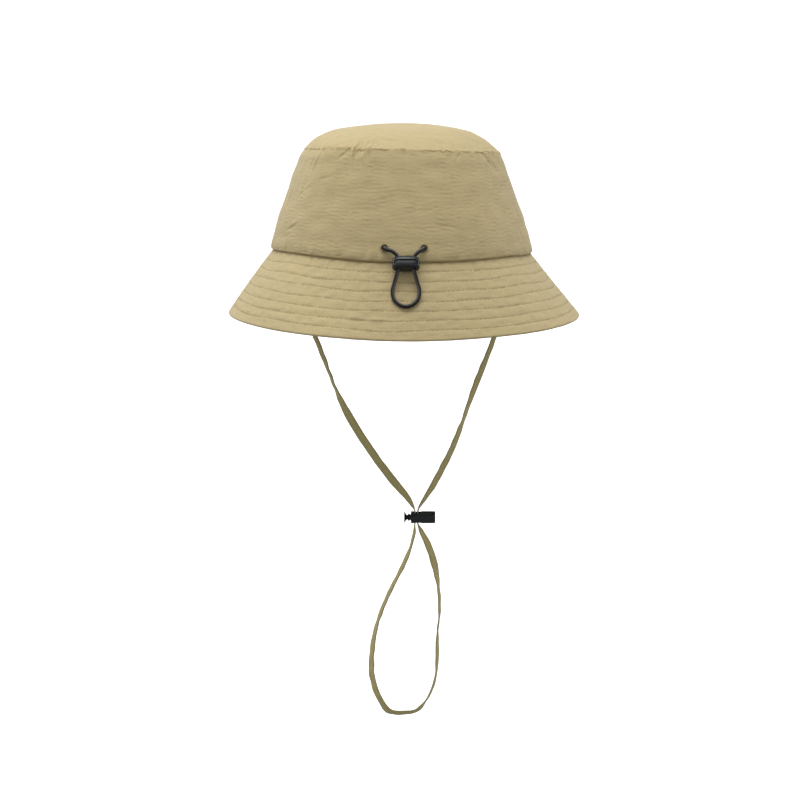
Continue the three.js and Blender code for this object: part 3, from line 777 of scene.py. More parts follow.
@dataclass(frozen=True)
class ThreadFinish:
    """Sewing thread of the cloth's own colour, its plies twisted round each other."""

    patterns: Patterns
    colour: Row = (0.42, 0.335, 0.17)
    shade: Row = (0.26, 0.2, 0.09)
    plies: float = 7000.0
    ply_depth: float = 0.00006

    def material(self) -> Material:
        """Makes the material: slanting plies in colour and bump."""
        values = dict(Roughness=0.6, Sheen_Weight=0.2, Specular_IOR_Level=0.35)
        material, graph, shader = shaded("Sewing thread", **values)
        uv = graph.surface()
        place = graph.place()
        parts = graph.node("SeparateXYZ", {0: uv}).outputs
        slant = graph.maths("MULTIPLY", graph.maths("ADD", parts[0], parts[1]), self.plies)
        ply = graph.ripple(slant)
        tone = self.patterns.mottle.use(graph, place, Scale=60.0, Amount=0.5).outputs["Tone"]
        factor = graph.maths("MULTIPLY", ply, tone)
        graph.paint(shader, factor, self.shade, self.colour)
        graph.bump(shader, ply, self.ply_depth, 0.8)
        return material


@dataclass(frozen=True)
class TapeFinish:
    """Flat woven tape: slanting ribs that meet along its middle, and darker edges."""

    patterns: Patterns
    colour: Row = (0.52, 0.455, 0.205)
    shade: Row = (0.29, 0.25, 0.1)
    ribs: float = 6500.0
    threads: float = 9000.0
    rib_reach: float = 0.0016
    rib_depth: float = 0.00012

    def material(self) -> Material:
        """Makes the material: a herringbone of ribs, worn tone and a bump."""
        values = dict(Roughness=0.82, Sheen_Weight=0.15, Specular_IOR_Level=0.25)
        material, graph, shader = shaded("Woven tape", **values)
        uv = graph.surface()
        place = graph.place()
        parts = graph.node("SeparateXYZ", {0: uv}).outputs
        bend = graph.maths("PINGPONG", parts[0], self.rib_reach)
        slant = graph.maths("MULTIPLY", graph.maths("MULTIPLY_ADD", bend, 1.3, parts[1]), self.ribs)
        rib = graph.ripple(slant)
        cross = graph.ripple(graph.maths("MULTIPLY", parts[0], self.threads))
        height = graph.maths("MULTIPLY_ADD", cross, 0.3, rib)
        tone = self.patterns.mottle.use(graph, place, Scale=45.0, Amount=0.55).outputs["Tone"]
        factor = graph.maths("MULTIPLY", graph.spread(height, 0.0, 1.3, 0.35, 1.0), tone)
        graph.paint(shader, factor, self.shade, self.colour)
        graph.bump(shader, height, self.rib_depth, 0.9)
        return material


@dataclass(frozen=True)
class ElasticFinish:
    """Braided elastic of dark yarn: paler flecks, and a painted highlight along one side of the
    cord.
    """

    patterns: Patterns
    # colour is the pale tone of the painted highlight, shade the dark yarn beside it
    colour: Row = (0.1, 0.092, 0.088)
    shade: Row = (0.005, 0.0045, 0.006)
    girth: float = 0.0075
    yarn_depth: float = 0.00004

    def material(self) -> Material:
        """Makes the material: fine yarn, and a painted highlight where the girth's cosine says
        outside.
        """
        values = dict(Roughness=0.6, Sheen_Weight=0.03, Specular_IOR_Level=0.3)
        material, graph, shader = shaded("Braided elastic", **values)
        uv = graph.surface()
        groove = graph.groove()
        weave = self.patterns.weave.use(graph, uv, Threads=16000.0, Slant=1.0)
        tone = self.patterns.mottle.use(graph, uv, Scale=500.0, Amount=0.8).outputs["Tone"]
        # Painted highlight: the yarn turns pale on one side of the cord's section, outside grooves,
        # in random flecks
        open_share = graph.maths("SUBTRACT", 1.0, groove)
        across = graph.node("SeparateXYZ", {0: uv}).outputs[0]
        facing = graph.maths("COSINE", graph.maths("MULTIPLY", across, TURN / self.girth))
        painted_highlight = graph.spread(facing, 0.1, 1.0, 0.0, 1.0)
        factor = graph.maths("MULTIPLY", graph.maths("MULTIPLY", open_share, tone), painted_highlight)
        graph.paint(shader, factor, self.shade, self.colour)
        graph.bump(shader, weave.outputs["Height"], self.yarn_depth, 0.6)
        return material


@dataclass(frozen=True)
class PlasticFinish:
    """Black moulded plastic with a fine grain, faint scuffs and a satin shine."""

    patterns: Patterns
    colour: Row = (0.005, 0.0075, 0.01)
    scuff: Row = (0.016, 0.022, 0.028)
    grain: float = 2600.0
    grain_depth: float = 0.00003

    def material(self) -> Material:
        """Makes the material: scuffed tone, uneven gloss and a grained bump."""
        values = dict(Roughness=0.36, Specular_IOR_Level=0.42)
        material, graph, shader = shaded("Moulded plastic", **values)
        place = graph.place()
        grain = graph.noise(place, self.grain)
        patch = graph.noise(place, self.grain / 10, 5.0)
        wear_and_groove_shade = graph.spread(patch, 0.5, 0.75, 0.0, 0.5)
        tone = self.patterns.mottle.use(graph, place, Scale=180.0, Amount=0.3).outputs["Tone"]
        factor = graph.maths("MULTIPLY", wear_and_groove_shade, tone)
        graph.paint(shader, factor, self.colour, self.scuff)
        graph.link(graph.spread(patch, 0.3, 0.7, 0.3, 0.44), shader.inputs["Roughness"])
        graph.bump(shader, grain, self.grain_depth, 0.5)
        return material


# The hat's form


@dataclass(frozen=True)
class Fold:
    """Soft fold of the crown: a ridge, or a hollow where depth is negative.

    Turn is its direction at the top seam in degrees, drift what it turns by at the base,
    spread its half width in degrees, depth a share of the fold depth, and low and high the
    shares of the height between which it grows.
    """

    turn: float
    drift: float
    spread: float
    depth: float
    low: float
    high: float


@dataclass(frozen=True)
class Wrinkle:
    """Short crease of the crown's wall.

    Turn is its direction in degrees, height a share of the wall's, tilt its slope from level
    in degrees, rising to the right of the picture, and length, width and depth millimetres.
    """

    turn: float
    height: float
    tilt: float
    length: float
    width: float
    depth: float


@dataclass(frozen=True)
class HatForm:
    """Sizes and outer surfaces of the crown and the brim."""

    crown_width: float = 185.6
    crown_length: float = 198
    crown_height: float = 74
    tip_width: float = 141
    tip_length: float = 156
    tip_rise: float = 17.3
    tip_lean: float = 2.1
    base_power: float = 2.04
    tip_power: float = 2.25
    seam_tuck: float = 1.4
    fold_depth: float = 2
    brim_slope: float = 54.4
    brim_wave: float = 0.8
    wall_heights: Row = (0, 0.03, 0.17, 0.34, 0.52, 0.7, 0.86, 1)
    wall_taper: Row = (0, 0, 0.1, 0.265, 0.47, 0.67, 0.865, 1)
    tuck_heights: Row = (-0.008, 0, 0.004, 0.009, 0.014, 0.02)
    tuck_shares: Row = (1.5, 1, 0.85, 0.42, 0.1, 0)
    tip_radii: Row = (1, 0.915, 0.82, 0.68, 0.48, 0.25, 0)
    tip_rises: Row = (0, 0.2, 0.45, 0.7, 0.86, 0.965, 1)
    folds: tuple[Fold, ...] = (
        Fold(228, -7, 17, 0.85, 0.1, 0.85),
        Fold(334, -3, 15, 0.75, 0, 0.8),
        Fold(280, 0, 42, -0.6, 0.35, 0.95),
        Fold(192, 4, 20, -0.5, 0.2, 0.9),
        Fold(0, -2, 16, -0.5, 0.1, 0.8),
        Fold(127, 5, 18, 0.7, 0.15, 0.85),
        Fold(50, -5, 18, 0.7, 0.1, 0.85),
        Fold(90, 0, 32, -0.6, 0.3, 0.95),
    )
    side_angles: Row = (50, 59, 47, 60.3)
    side_curls: Row = (1, 3, -9, 3)
    side_slopes: Row = (1.035, 1, 0.965, 1)
    wave_counts: tuple[int, ...] = (2, 5, 8)
    wave_depths: Row = (1, 0.5, 0.35)
    wave_crests: Row = (222, 238, 250)
    lift_turns: Row = (0, 60, 120, 180, 215, 231, 245, 262, 285, 305, 321, 340, 360)
    seam_lifts: Row = (0.7, 1, 2, 3.2, 4, 3.3, 2.1, 0.8, 0.7, 1.3, 1.9, 0.9, 0.7)

    @property
    def base(self) -> Size:
        """Half width, half length and power of the oval at the base seam."""
        half = self.crown_width / 2 - self.seam_tuck, self.crown_length / 2 - self.seam_tuck
        return *half, self.base_power

    def round_table(self) -> Pair:
        """Angles round the base oval and the distance round it at each, in millimetres."""
        angle = np.linspace(0, TURN, 4097)
        x, y = oval(*self.base, angle)
        return angle, path_length(np.stack([x, y, 0 * x], -1))

    @property
    def girth(self) -> float:
        """Distance once round the base seam."""
        return float(self.round_table()[1][-1])

    def around(self, angle: Array) -> Array:
        """Distance round the base seam at an angle."""
        angles, distances = self.round_table()
        return np.interp(np.mod(angle, TURN), angles, distances)

    def waves(
        self, seed: int, sizes: Sequence[float], u: Array, v: Array, level: float = 0.0
    ) -> Array:
        """Random relief that closes round the base seam."""
        return Waves(seed, *sizes, closed=self.girth, level=level).at(u, v)

    def even_angles(self, count: int) -> Array:
        """Angles of evenly spaced places round the base seam."""
        angles, distances = self.round_table()
        return np.interp(np.arange(count) * distances[-1] / count, distances, angles)

    def crown_relief(self, angle: Array, height: Array) -> Array:
        """Sum of the crown's folds, each a smooth ridge that grows up the wall.

        Args:
            angle: direction round the hat.
            height: share of the wall's height.

        Returns:
            Distance outward.
        """
        total = 0.0
        for fold in self.folds:
            away = np.abs(turn_from(angle, fold.turn + fold.drift * (1 - height)))
            across = 1 - ramp(away, 0, np.radians(fold.spread))
            grown = ramp(height, fold.low, fold.high)
            total = total + self.fold_depth * fold.depth * across * grown
        return total

    def seam_lift(self, angle: Array) -> Array:
        """Height of the base seam above the level of the head opening."""
        turn = np.degrees(np.mod(angle, TURN))
        return smooth_column(self.lift_turns, self.seam_lifts, turn)

    def lean_at(self, x: Array) -> Array:
        """Height that the leaning top seam adds at a place across."""
        return -self.tip_lean * x / (self.tip_width / 2)

    def wall(self, angle: Array, share: Array) -> Array:
        """Outer surface of the wall: ovals that taper from the base seam to the top seam.

        Args:
            angle: direction round the hat.
            share: 0 at the base seam, 1 at the top seam.

        Returns:
            The points.
        """
        taper = smooth_column(self.wall_heights, self.wall_taper, share)
        tuck = self.seam_tuck * smooth_column(self.tuck_heights, self.tuck_shares, share)
        tuck = np.where(share < self.tuck_heights[-1], tuck, 0)
        half_width = mix(self.crown_width, self.tip_width, taper) / 2 - tuck
        half_length = mix(self.crown_length, self.tip_length, taper) / 2 - tuck
        power = mix(self.base_power, self.tip_power, share)
        x, y = oval(half_width, half_length, power, angle)
        out_x, out_y = oval_outward(half_width, half_length, power, x, y)
        relief = self.crown_relief(angle, share)
        x, y = x + out_x * relief, y + out_y * relief
        z = (self.crown_height + self.lean_at(x)) * share + self.seam_lift(angle) * (1 - share) ** 2
        return np.stack(np.broadcast_arrays(x, y, z), -1)

    def tip(self, angle: Array, share: Array) -> Array:
        """Outer surface of the tip: shrinking ovals that rise to a dome.

        Args:
            angle: direction round the hat.
            share: 0 at the top seam, 1 at the middle.

        Returns:
            The points.
        """
        radii, rises = np.array(self.tip_radii), np.array(self.tip_rises)
        chords = np.hypot(np.diff(radii) * self.tip_width / 2, np.diff(rises) * self.tip_rise)
        along = np.concatenate([[0], np.cumsum(chords)]) / chords.sum()
        radius = smooth_column(along, radii, share)
        rise = smooth_column(along, rises, share)
        half = self.tip_width / 2, self.tip_length / 2
        x, y = oval(*half, self.tip_power, angle)
        out_x, out_y = oval_outward(*half, self.tip_power, x, y)
        relief = self.crown_relief(angle, np.ones(1))
        x, y = (x + out_x * relief) * radius, (y + out_y * relief) * radius
        z = self.crown_height + self.tip_rise * rise + self.lean_at(x) * radius**2
        return np.stack(np.broadcast_arrays(x, y, z), -1)

    def side_value(self, values: Sequence[float], out_x: Array, out_y: Array) -> Array:
        """Value for an outward direction: the sides' values by the squares of its parts."""
        parts = (out_x, out_y, -out_x, -out_y)
        return sum(value * np.maximum(part, 0) ** 2 for value, part in zip(values, parts))

    def brim(self, angle: Array, share: Array) -> Array:
        """Outer surface of the brim: a slope that falls from the seam and waves at the rim.

        Args:
            angle: direction round the hat.
            share: 0 at the rim, 1 at the base seam.

        Returns:
            The points.
        """
        slope = 1 - share
        x, y = oval(*self.base, angle)
        out_x, out_y = oval_outward(*self.base, x, y)
        length = self.brim_slope * self.side_value(self.side_slopes, out_x, out_y) * slope
        curl = self.side_value(self.side_curls, out_x, out_y) * slope / 2
        fall = np.radians(self.side_value(self.side_angles, out_x, out_y) - curl)
        wave = 0.0
        for count, depth, crest in zip(self.wave_counts, self.wave_depths, self.wave_crests):
            wave = wave + depth * np.cos(count * (angle - np.radians(crest)))
        wave = self.brim_wave * wave * slope**2
        out = length * np.cos(fall) + wave * np.sin(fall)
        down = length * np.sin(fall) - wave * np.cos(fall)
        z = self.seam_lift(angle) * share**2 - down
        return np.stack(np.broadcast_arrays(x + out_x * out, y + out_y * out, z), -1)


Surface = Callable[[Array, Array], Array]
Face = Callable[[Array, Array], Triple]


def surface_normal(surface: Surface, angle: Array, share: Array) -> Array:
    """Outward normal: the step round crossed with the step up.

    Args:
        surface: the outer surface.
        angle: direction round the hat.
        share: share of the way up.

    Returns:
        The normals.
    """
    step = 0.004
    low, high = np.maximum(share - step, 0), np.minimum(share + step, 1)
    around = surface(angle + step, share) - surface(angle - step, share)
    return unit(np.cross(around, surface(angle, high) - surface(angle, low)))


@dataclass(frozen=True)
class CrinkledCloth:
    """Relief that the cloth's own creases add to the hat's form."""

    form: HatForm
    crinkle: float = 0.028
    unevenness: float = 0.1
    crease_depth: float = 0.085
    hem_pucker: float = 0.3
    level: float = 0.6
    seam_width: float = 0.65
    seam_depth: float = 0.7
    seam_pucker: float = 0.62
    pucker_reach: float = 5.5
    corner_sides: Row = (1.1, 1, 2.7, 1.1)
    corner_reach: float = 5
    gather_turns: Row = (30, 118, 185, 246, 326)
    wrinkles: tuple[Wrinkle, ...] = tuple(Wrinkle(*row) for row in (
        (213, 0.24, 24, 13, 2.4, -0.4),
        (215, 0.29, 28, 12, 2.4, 0.4),
        (210, 0.16, 18, 13, 2.4, -0.35),
        (216, 0.58, 44, 12, 2.2, -0.55),
        (219, 0.63, 46, 12, 2.4, 0.55),
        (222, 0.87, 74, 17, 2.6, 0.75),
        (218, 0.86, 76, 16, 2.4, -0.6),
        (240, 0.93, 40, 12, 2, -0.6),
        (246, 0.95, -38, 10, 2, 0.5),
        (252, 0.94, -45, 9, 1.8, -0.5),
        (300, 0.95, 50, 9, 1.8, -0.4),
        (320, 0.94, -46, 12, 2, -0.65),
        (326, 0.91, -52, 12, 2.2, 0.6),
        (331, 0.93, -58, 10, 2, -0.6),
        (338, 0.84, 82, 19, 3, 0.65),
        (332, 0.3, 84, 32, 3, 0.6),
        (336, 0.3, 86, 34, 2.4, -0.75),
        (341, 0.36, 85, 26, 2.2, 0.5),
        (232, 0.72, 20, 14, 2.4, -0.3),
        (276, 0.45, 6, 20, 2.4, -0.22),
        (292, 0.3, -8, 18, 2.2, -0.22),
        (200, 0.5, 70, 26, 3, -0.6),
        (190, 0.3, -60, 22, 3, 0.5),
        (165, 0.6, 75, 24, 3, -0.6),
        (140, 0.4, -50, 20, 2.8, 0.55),
        (128, 0.25, 24, 18, 2.6, -0.6),
        (112, 0.85, -40, 14, 2.2, -0.6),
        (96, 0.5, 8, 22, 2.6, -0.3),
        (74, 0.9, 44, 13, 2.2, -0.6),
        (60, 0.35, -20, 18, 2.6, 0.5),
        (47, 0.6, 66, 22, 2.8, -0.6),
        (30, 0.3, 80, 26, 2.8, 0.55),
        (12, 0.55, -74, 24, 3, -0.6),
        (350, 0.35, 62, 22, 2.8, 0.5),
    ))

    def seam_gathers(self, angle: Array, away: Array) -> Array:
        """Puckers beside the top seam: upright waves that fade from it and come in groups.

        The cloth also rounds over the seam there, by a bell curve of the distance from it.

        Args:
            angle: direction round the hat.
            away: distance from the top seam.

        Returns:
            Distance outward.
        """
        form = self.form
        u = form.around(angle)
        x, y = oval(*form.base, angle)
        corner = form.side_value(self.corner_sides, *oval_outward(*form.base, x, y))
        close = form.waves(21, (4.2, 60), u, away)
        slanting = form.waves(22, (4.6, 7), u, away)
        group = 0.25 + 0.45 * ramp(form.waves(23, (26, 400), u, 0 * away), -0.9, 1.1)
        for turn in self.gather_turns:
            group = group + 0.8 * bell(turn_from(angle, turn), np.radians(8))
        fade = np.exp(-away / self.pucker_reach)
        pucker = self.seam_pucker * group * fade * (0.55 * close + 0.45 * slanting)
        return pucker - corner * bell(away, self.corner_reach)

    def crease(self, u: Array, v: Array, seed: int) -> Array:
        """Short level creases: thin hollows along the zero lines of a stretched relief.

        Args:
            u: distance across.
            v: distance along.
            seed: picks the creases.

        Returns:
            How deep each place lies in a crease, from 0 to 1.
        """
        line = ramp(self.form.waves(seed, (6, 2.4), u, v, self.level), 0.5, 1.9)
        gate = ramp(self.form.waves(seed + 1, (12, 9), u, v), -0.9, 0.9)
        return line * gate

    def wall(self, angle: Array, share: Array) -> Pair:
        """Relief and groove of the crown's wall.

        Args:
            angle: direction round the hat.
            share: share of the wall's height.

        Returns:
            Distance outward, and how deep each place lies in a groove.
        """
        form = self.form
        u = form.around(angle)
        v = share * form.crown_height
        away = form.crown_height - v
        crease = self.crease(u, v, 31)
        relief = self.crinkle * form.waves(30, (5.5, 2.3), u, v, self.level)
        relief = relief + self.unevenness * form.waves(33, (14, 12), u, v)
        relief = relief - self.crease_depth * crease
        relief = relief + self.seam_gathers(angle, away)
        relief = relief + self.hem_pucker * np.exp(-v / 4) * form.waves(34, (6, 12), u, v)
        relief = relief * ramp(v, 0, 2.5)
        for mark in self.wrinkles:
            right = turn_from(angle, mark.turn) * form.crown_width / 2
            rise = v - mark.height * form.crown_height
            tilt = np.radians(mark.tilt)
            along = right * np.cos(tilt) + rise * np.sin(tilt)
            beside = rise * np.cos(tilt) - right * np.sin(tilt)
            beside = beside + 0.6 * np.sin(along / 3)
            mound = mark.depth * bell(along, mark.length / 2) * bell(beside, mark.width / 2)
            relief = relief + mound
        edge = bell(away, self.seam_width)
        # The groove value is painted shade for the cloth's colour: in creases and along the top and
        # base seams
        groove = 0.3 * crease + edge + 0.7 * bell(v, 0.7)
        return relief - self.seam_depth * edge, np.clip(groove, 0, 1)

    def tip(self, angle: Array, share: Array) -> Pair:
        """Relief and groove of the tip.

        Args:
            angle: direction round the hat.
            share: 0 at the top seam, 1 at the middle.

        Returns:
            Distance outward, and how deep each place lies in a groove.
        """
        form = self.form
        away = share * form.tip_width / 2
        place = form.tip(angle, share)
        x, y = place[..., 0], place[..., 1]
        soft = Waves(40, 9, 4.5).at(x, y)
        broad = Waves(41, 34, 26).at(x, y)
        relief = 0.07 * soft + 0.22 * broad * ramp(away, 2, 20)
        relief = relief + self.seam_gathers(angle, away)
        edge = bell(away, self.seam_width)
        gate = ramp(Waves(43, 9, 9).at(x, y), 0.4, 1.4)
        crease = bell(Waves(42, 12, 5).at(x, y), 0.45) * gate
        relief = relief - 0.12 * crease
        # The groove value is painted shade for the cloth's colour: in creases and along the top
        # seam
        return relief - 0.45 * edge, np.clip(0.15 * crease + edge, 0, 1)


@dataclass(frozen=True)
class BrimCloth:
    """Relief of the brim: grooves under its stitch rows, and the cloth that puffs between."""

    form: HatForm
    rows: int = 7
    groove_depth: float = 0.22
    groove_width: float = 0.5
    wobble: float = 0.35
    puff: float = 0.1
    pucker: float = 0.08
    seam_pucker: float = 0.24
    unevenness: float = 0.07

    @property
    def pitch(self) -> float:
        """Share of the slope from one stitch row to the next."""
        return 1 / (self.rows + 1)

    def row_shift(self, angle: Array, row: Array) -> Array:
        """How far a stitch row strays from its place, in millimetres down the slope."""
        u = self.form.around(angle)
        return self.wobble * self.form.waves(50, (38, 1.7), u, row)

    def relief(self, angle: Array, share: Array) -> Pair:
        """Relief and groove of the brim's upper face.

        Args:
            angle: direction round the hat.
            share: 0 at the rim, 1 at the base seam.

        Returns:
            Distance outward, and how deep each place lies in a groove.
        """
        form = self.form
        slope = 1 - share
        row = np.clip(np.round(slope / self.pitch), 1, self.rows)
        away = (slope - row * self.pitch) * form.brim_slope - self.row_shift(angle, row)
        groove = bell(away, self.groove_width)
        v = slope * form.brim_slope
        spread = 1 + 0.35 * slope
        u = form.around(angle)
        uneven = 0.8 + 0.5 * form.waves(51, (14, 9), u, v)
        puff = self.puff * (1 - bell(away, 2.4)) * uneven
        beside = bell(np.abs(away) - 1.4, 1.8)
        pucker = self.pucker * spread * beside * form.waves(52, (4.4, 5), u, v)
        fade = self.seam_pucker * np.exp(-v / 3.4) * ramp(v, 0, 1)
        seam = fade * form.waves(53, (5, 14), u, v)
        soft = self.unevenness * form.waves(54, (9, 4), u, v)
        relief = puff + pucker + seam + soft - self.groove_depth * groove
        edge = bell(v, 0.9)
        # The groove value is painted shade for the cloth's colour: under each stitch row, of a
        # strength that varies at random, and along the base seam
        wear_and_groove_shade = 0.32 + 0.16 * form.waves(55, (4, 3), u, row)
        relief = relief * ramp(form.brim_slope - v, 0, 2) * ramp(v, 0, 1.6)
        return relief + 0.05 * bell(v, 0.8), np.clip(wear_and_groove_shade * groove + edge, 0, 1)


@dataclass(frozen=True)
class Sheet:
    """One wall of cloth: an outer surface, its relief and its thickness."""

    surface: Surface
    relief: Callable[[Array, Array], Pair]
    thickness: float

    def face(self, angle: Array, share: Array, depth: float = 0.0) -> Triple:
        """Points of a layer of the wall: surface + normal * (relief - depth).

        Args:
            angle: direction round the hat.
            share: share of the way up.
            depth: how far behind the outer face.

        Returns:
            Points, normals and groove values.
        """
        angle, share = np.broadcast_arrays(angle, share)
        relief, groove = self.relief(angle, share)
        normal = surface_normal(self.surface, angle, share)
        points = self.surface(angle, share) + normal * (relief - depth)[..., None]
        return points, normal, groove


def clustered(low: float, high: float, fine: float, coarse: float, reach: float) -> Array:
    """Places from low to high that are close together near both ends.

    The spacing grows from fine at an end to coarse at reach from it.

    Args:
        low: first place.
        high: last place.
        fine: spacing at the ends.
        coarse: spacing in the middle.
        reach: distance over which it grows.

    Returns:
        The places.
    """
    dense = np.linspace(low, high, 4001)
    end = np.minimum(dense - low, high - dense)
    rate = 1 / mix(fine, coarse, ramp(end, 0, reach))
    count = np.concatenate([[0], np.cumsum((rate[1:] + rate[:-1]) / 2 * np.diff(dense))])
    steps = int(np.ceil(count[-1]))
    return np.interp(np.linspace(0, count[-1], steps + 1), count, dense)


# Stitches


@dataclass(frozen=True)
class Stitches:
    """Rows of sewn stitches, each a short thread that rises from the cloth and dips back."""

    pitch: float = 3.3
    length: float = 2.7
    thickness: float = 0.42
    lift: float = 0.09
    sides: int = 6

    def places(self, row: Array) -> Array:
        """Distances along a closed row at which the stitches start."""
        total = path_length(np.concatenate([row, row[:1]]))[-1]
        count = int(round(total / self.pitch))
        return np.arange(count) * total / count

    def add(self, data: MeshData, points: Array, normals: Array) -> None:
        """Adds the stitches of one row.

        The thread's middle is the row lifted by lift * sin(pi t) less a sink at its ends, and
        its radius the square root of sin(pi t) of the full one.

        Args:
            data: the mesh that they go into.
            points: middle line of each stitch, by stitch and step.
            normals: the cloth's normal at each of those.
        """
        stitches, steps = points.shape[:2]
        t = np.linspace(0, 1, steps)
        rise = self.lift * np.sin(np.pi * t) - self.thickness * 0.45 * (1 - np.sin(np.pi * t))
        middle = points + normals * rise[None, :, None]
        tangent = unit(np.gradient(middle, axis=1))
        across = unit(np.cross(tangent, normals))
        up = np.cross(across, tangent)
        radius = self.thickness / 2 * np.sqrt(np.clip(np.sin(np.pi * t), 0.05, 1))
        turn = np.arange(self.sides) * TURN / self.sides
        round_part = across[:, :, None] * np.cos(turn)[None, None, :, None]
        round_part = round_part + 0.8 * up[:, :, None] * np.sin(turn)[None, None, :, None]
        rings = middle[:, :, None] + radius[None, :, None, None] * round_part
        sides = self.sides
        body = rings.reshape(stitches, steps * sides, 3)
        ends = np.stack([middle[:, 0], middle[:, -1]], 1)
        whole = np.concatenate([body, ends], 1)
        each = steps * sides + 2
        index = np.arange(steps * sides).reshape(steps, sides)
        index = np.concatenate([index, index[:, :1]], 1)
        quads = corners(index).reshape(-1, 4)
        start, end = steps * sides, steps * sides + 1
        first = np.stack([np.full(sides, start), index[0, 1:], index[0, :-1]], 1)
        last = np.stack([np.full(sides, end), index[-1, :-1], index[-1, 1:]], 1)
        shift = (np.arange(stitches) * each)[:, None, None]
        u = np.linspace(0, np.pi * self.thickness, sides + 1)
        v = t * self.length
        uv = np.stack(np.broadcast_arrays(u[None, :], v[:, None]), -1)
        quad_uv = corners(uv).reshape(-1, 4, 2)
        cap_uv = np.zeros((sides, 3, 2))
        faces = [(face[None] + shift).reshape(-1, face.shape[1]) for face in (quads, first, last)]
        uvs = [np.tile(part, (stitches, 1, 1)) for part in (quad_uv, cap_uv, cap_uv)]
        data.add(whole.reshape(-1, 3), faces, uvs)


# The pieces


@dataclass
class Crown:
    """The crown: its domed tip and its wall with the two eyelet holes."""

    form: HatForm
    cloth: CrinkledCloth
    columns: int = 640
    inner_rows: int = 9
    overlap: float = 0.5
    thickness: float = 1.2
    step: float = 0.56
    eyelet_spacing: float = 25.8
    eyelet_height: float = 9.6
    eyelet_offset: float = 1.6
    eyelet_neck: float = 4.7
    fit: float = 0.3

    @property
    def wall_sheet(self) -> Sheet:
        """The wall as a sheet of cloth."""
        return Sheet(self.form.wall, self.cloth.wall, self.thickness)

    def make_wall(self) -> Piece:
        """Makes the wall: outer rows going up, inner rows going down, closed into a ring."""
        height = self.form.crown_height
        outer = clustered(-self.overlap, height, 0.28, self.step, 5) / height
        inner = np.linspace(1, outer[0], self.inner_rows)
        angle = self.form.even_angles(self.columns)
        front, _, groove = self.wall_sheet.face(angle[None], outer[:, None])
        back, _, _ = self.wall_sheet.face(angle[None], inner[:, None], self.thickness)
        grid = np.concatenate([front, back])
        values = np.concatenate([groove, np.zeros(back.shape[:2])])
        data = MeshData()
        uv = grid_uv(grid, self.form.girth, loop_rows=True)
        add_grid(data, grid, uv, values, loop_rows=True)
        wall = data.build("crown_wall_cloth")
        cutters = [self.hole(side) for side in Side]
        return carve(wall, cutters, 0, sharp=60)

    def eyelet_pose(self, side: Side) -> Pair:
        """Middle of the cloth at an eyelet, and the direction straight out of it.

        The angle is mended in steps until the wall's x is the eyelet's own.

        Args:
            side: which eyelet.

        Returns:
            The place and the direction.
        """
        goal = self.eyelet_offset + side.value * self.eyelet_spacing / 2
        share = np.array([self.eyelet_height / self.form.crown_height])
        angle = np.array([BACK])
        for _ in range(20):
            missing = goal - self.form.wall(angle, share)[..., 0]
            angle = angle + missing / (self.form.crown_length / 2)
        normal = surface_normal(self.form.wall, angle, share)[0]
        return self.form.wall(angle, share)[0] - normal * self.thickness / 2, normal

    def hole(self, side: Side) -> Piece:
        """Makes the round cutter of an eyelet's hole: a drum along the direction out."""
        centre, normal = self.eyelet_pose(side)
        radius = self.eyelet_neck / 2 + self.fit
        path = centre + normal * np.linspace(-4, 4, 5)[:, None]
        turn = np.arange(28) * TURN / 28
        ring = np.stack([np.cos(turn), np.sin(turn)], -1) * radius
        data = MeshData()
        frames = carried_frames(path, np.array([0, 0, 1]))
        add_tube(data, path, frames, np.repeat(ring[None], len(path), 0))
        return data.build(f"hole_{side.name.lower()}")

    def make_tip(self) -> Piece:
        """Makes the tip: from the inner middle down to the seam and up to the outer middle."""
        sheet = Sheet(self.form.tip, self.cloth.tip, self.thickness)
        radius = self.form.tip_width / 2
        fine = clustered(0, 2 * radius, 0.32, 1.5, 26)
        outer = fine[fine <= radius] / radius
        outer = np.concatenate([outer[:-1], [1 - 0.35 / radius, 1]])
        inner = np.linspace(1, 0, self.inner_rows)
        angle = self.form.even_angles(self.columns)
        front, _, groove = sheet.face(angle[None], outer[:, None])
        back, _, _ = sheet.face(angle[None], inner[:, None], self.thickness)
        front[-1] = front[-2].mean(axis=0) + [0, 0, 0.01]
        back[0] = front[-1] - [0, 0, self.thickness]
        back[1] = mix(back[0], back[2], 0.5)
        grid = np.concatenate([back, front])
        values = np.concatenate([np.zeros(back.shape[:2]), groove])
        closed = np.concatenate([grid, grid[:, :1]], axis=1)
        data = MeshData()
        add_grid(data, grid, closed[..., :2], values, poles=True)
        return data.build("crown_tip_cloth")

    def make(self, finish: Material) -> None:
        """Makes and dresses the crown's two pieces."""
        dress(self.make_wall(), Body.HAT, Slot.CLOTH, finish, "crown_band")
        dress(self.make_tip(), Body.HAT, Slot.CLOTH, finish, "crown_tip")


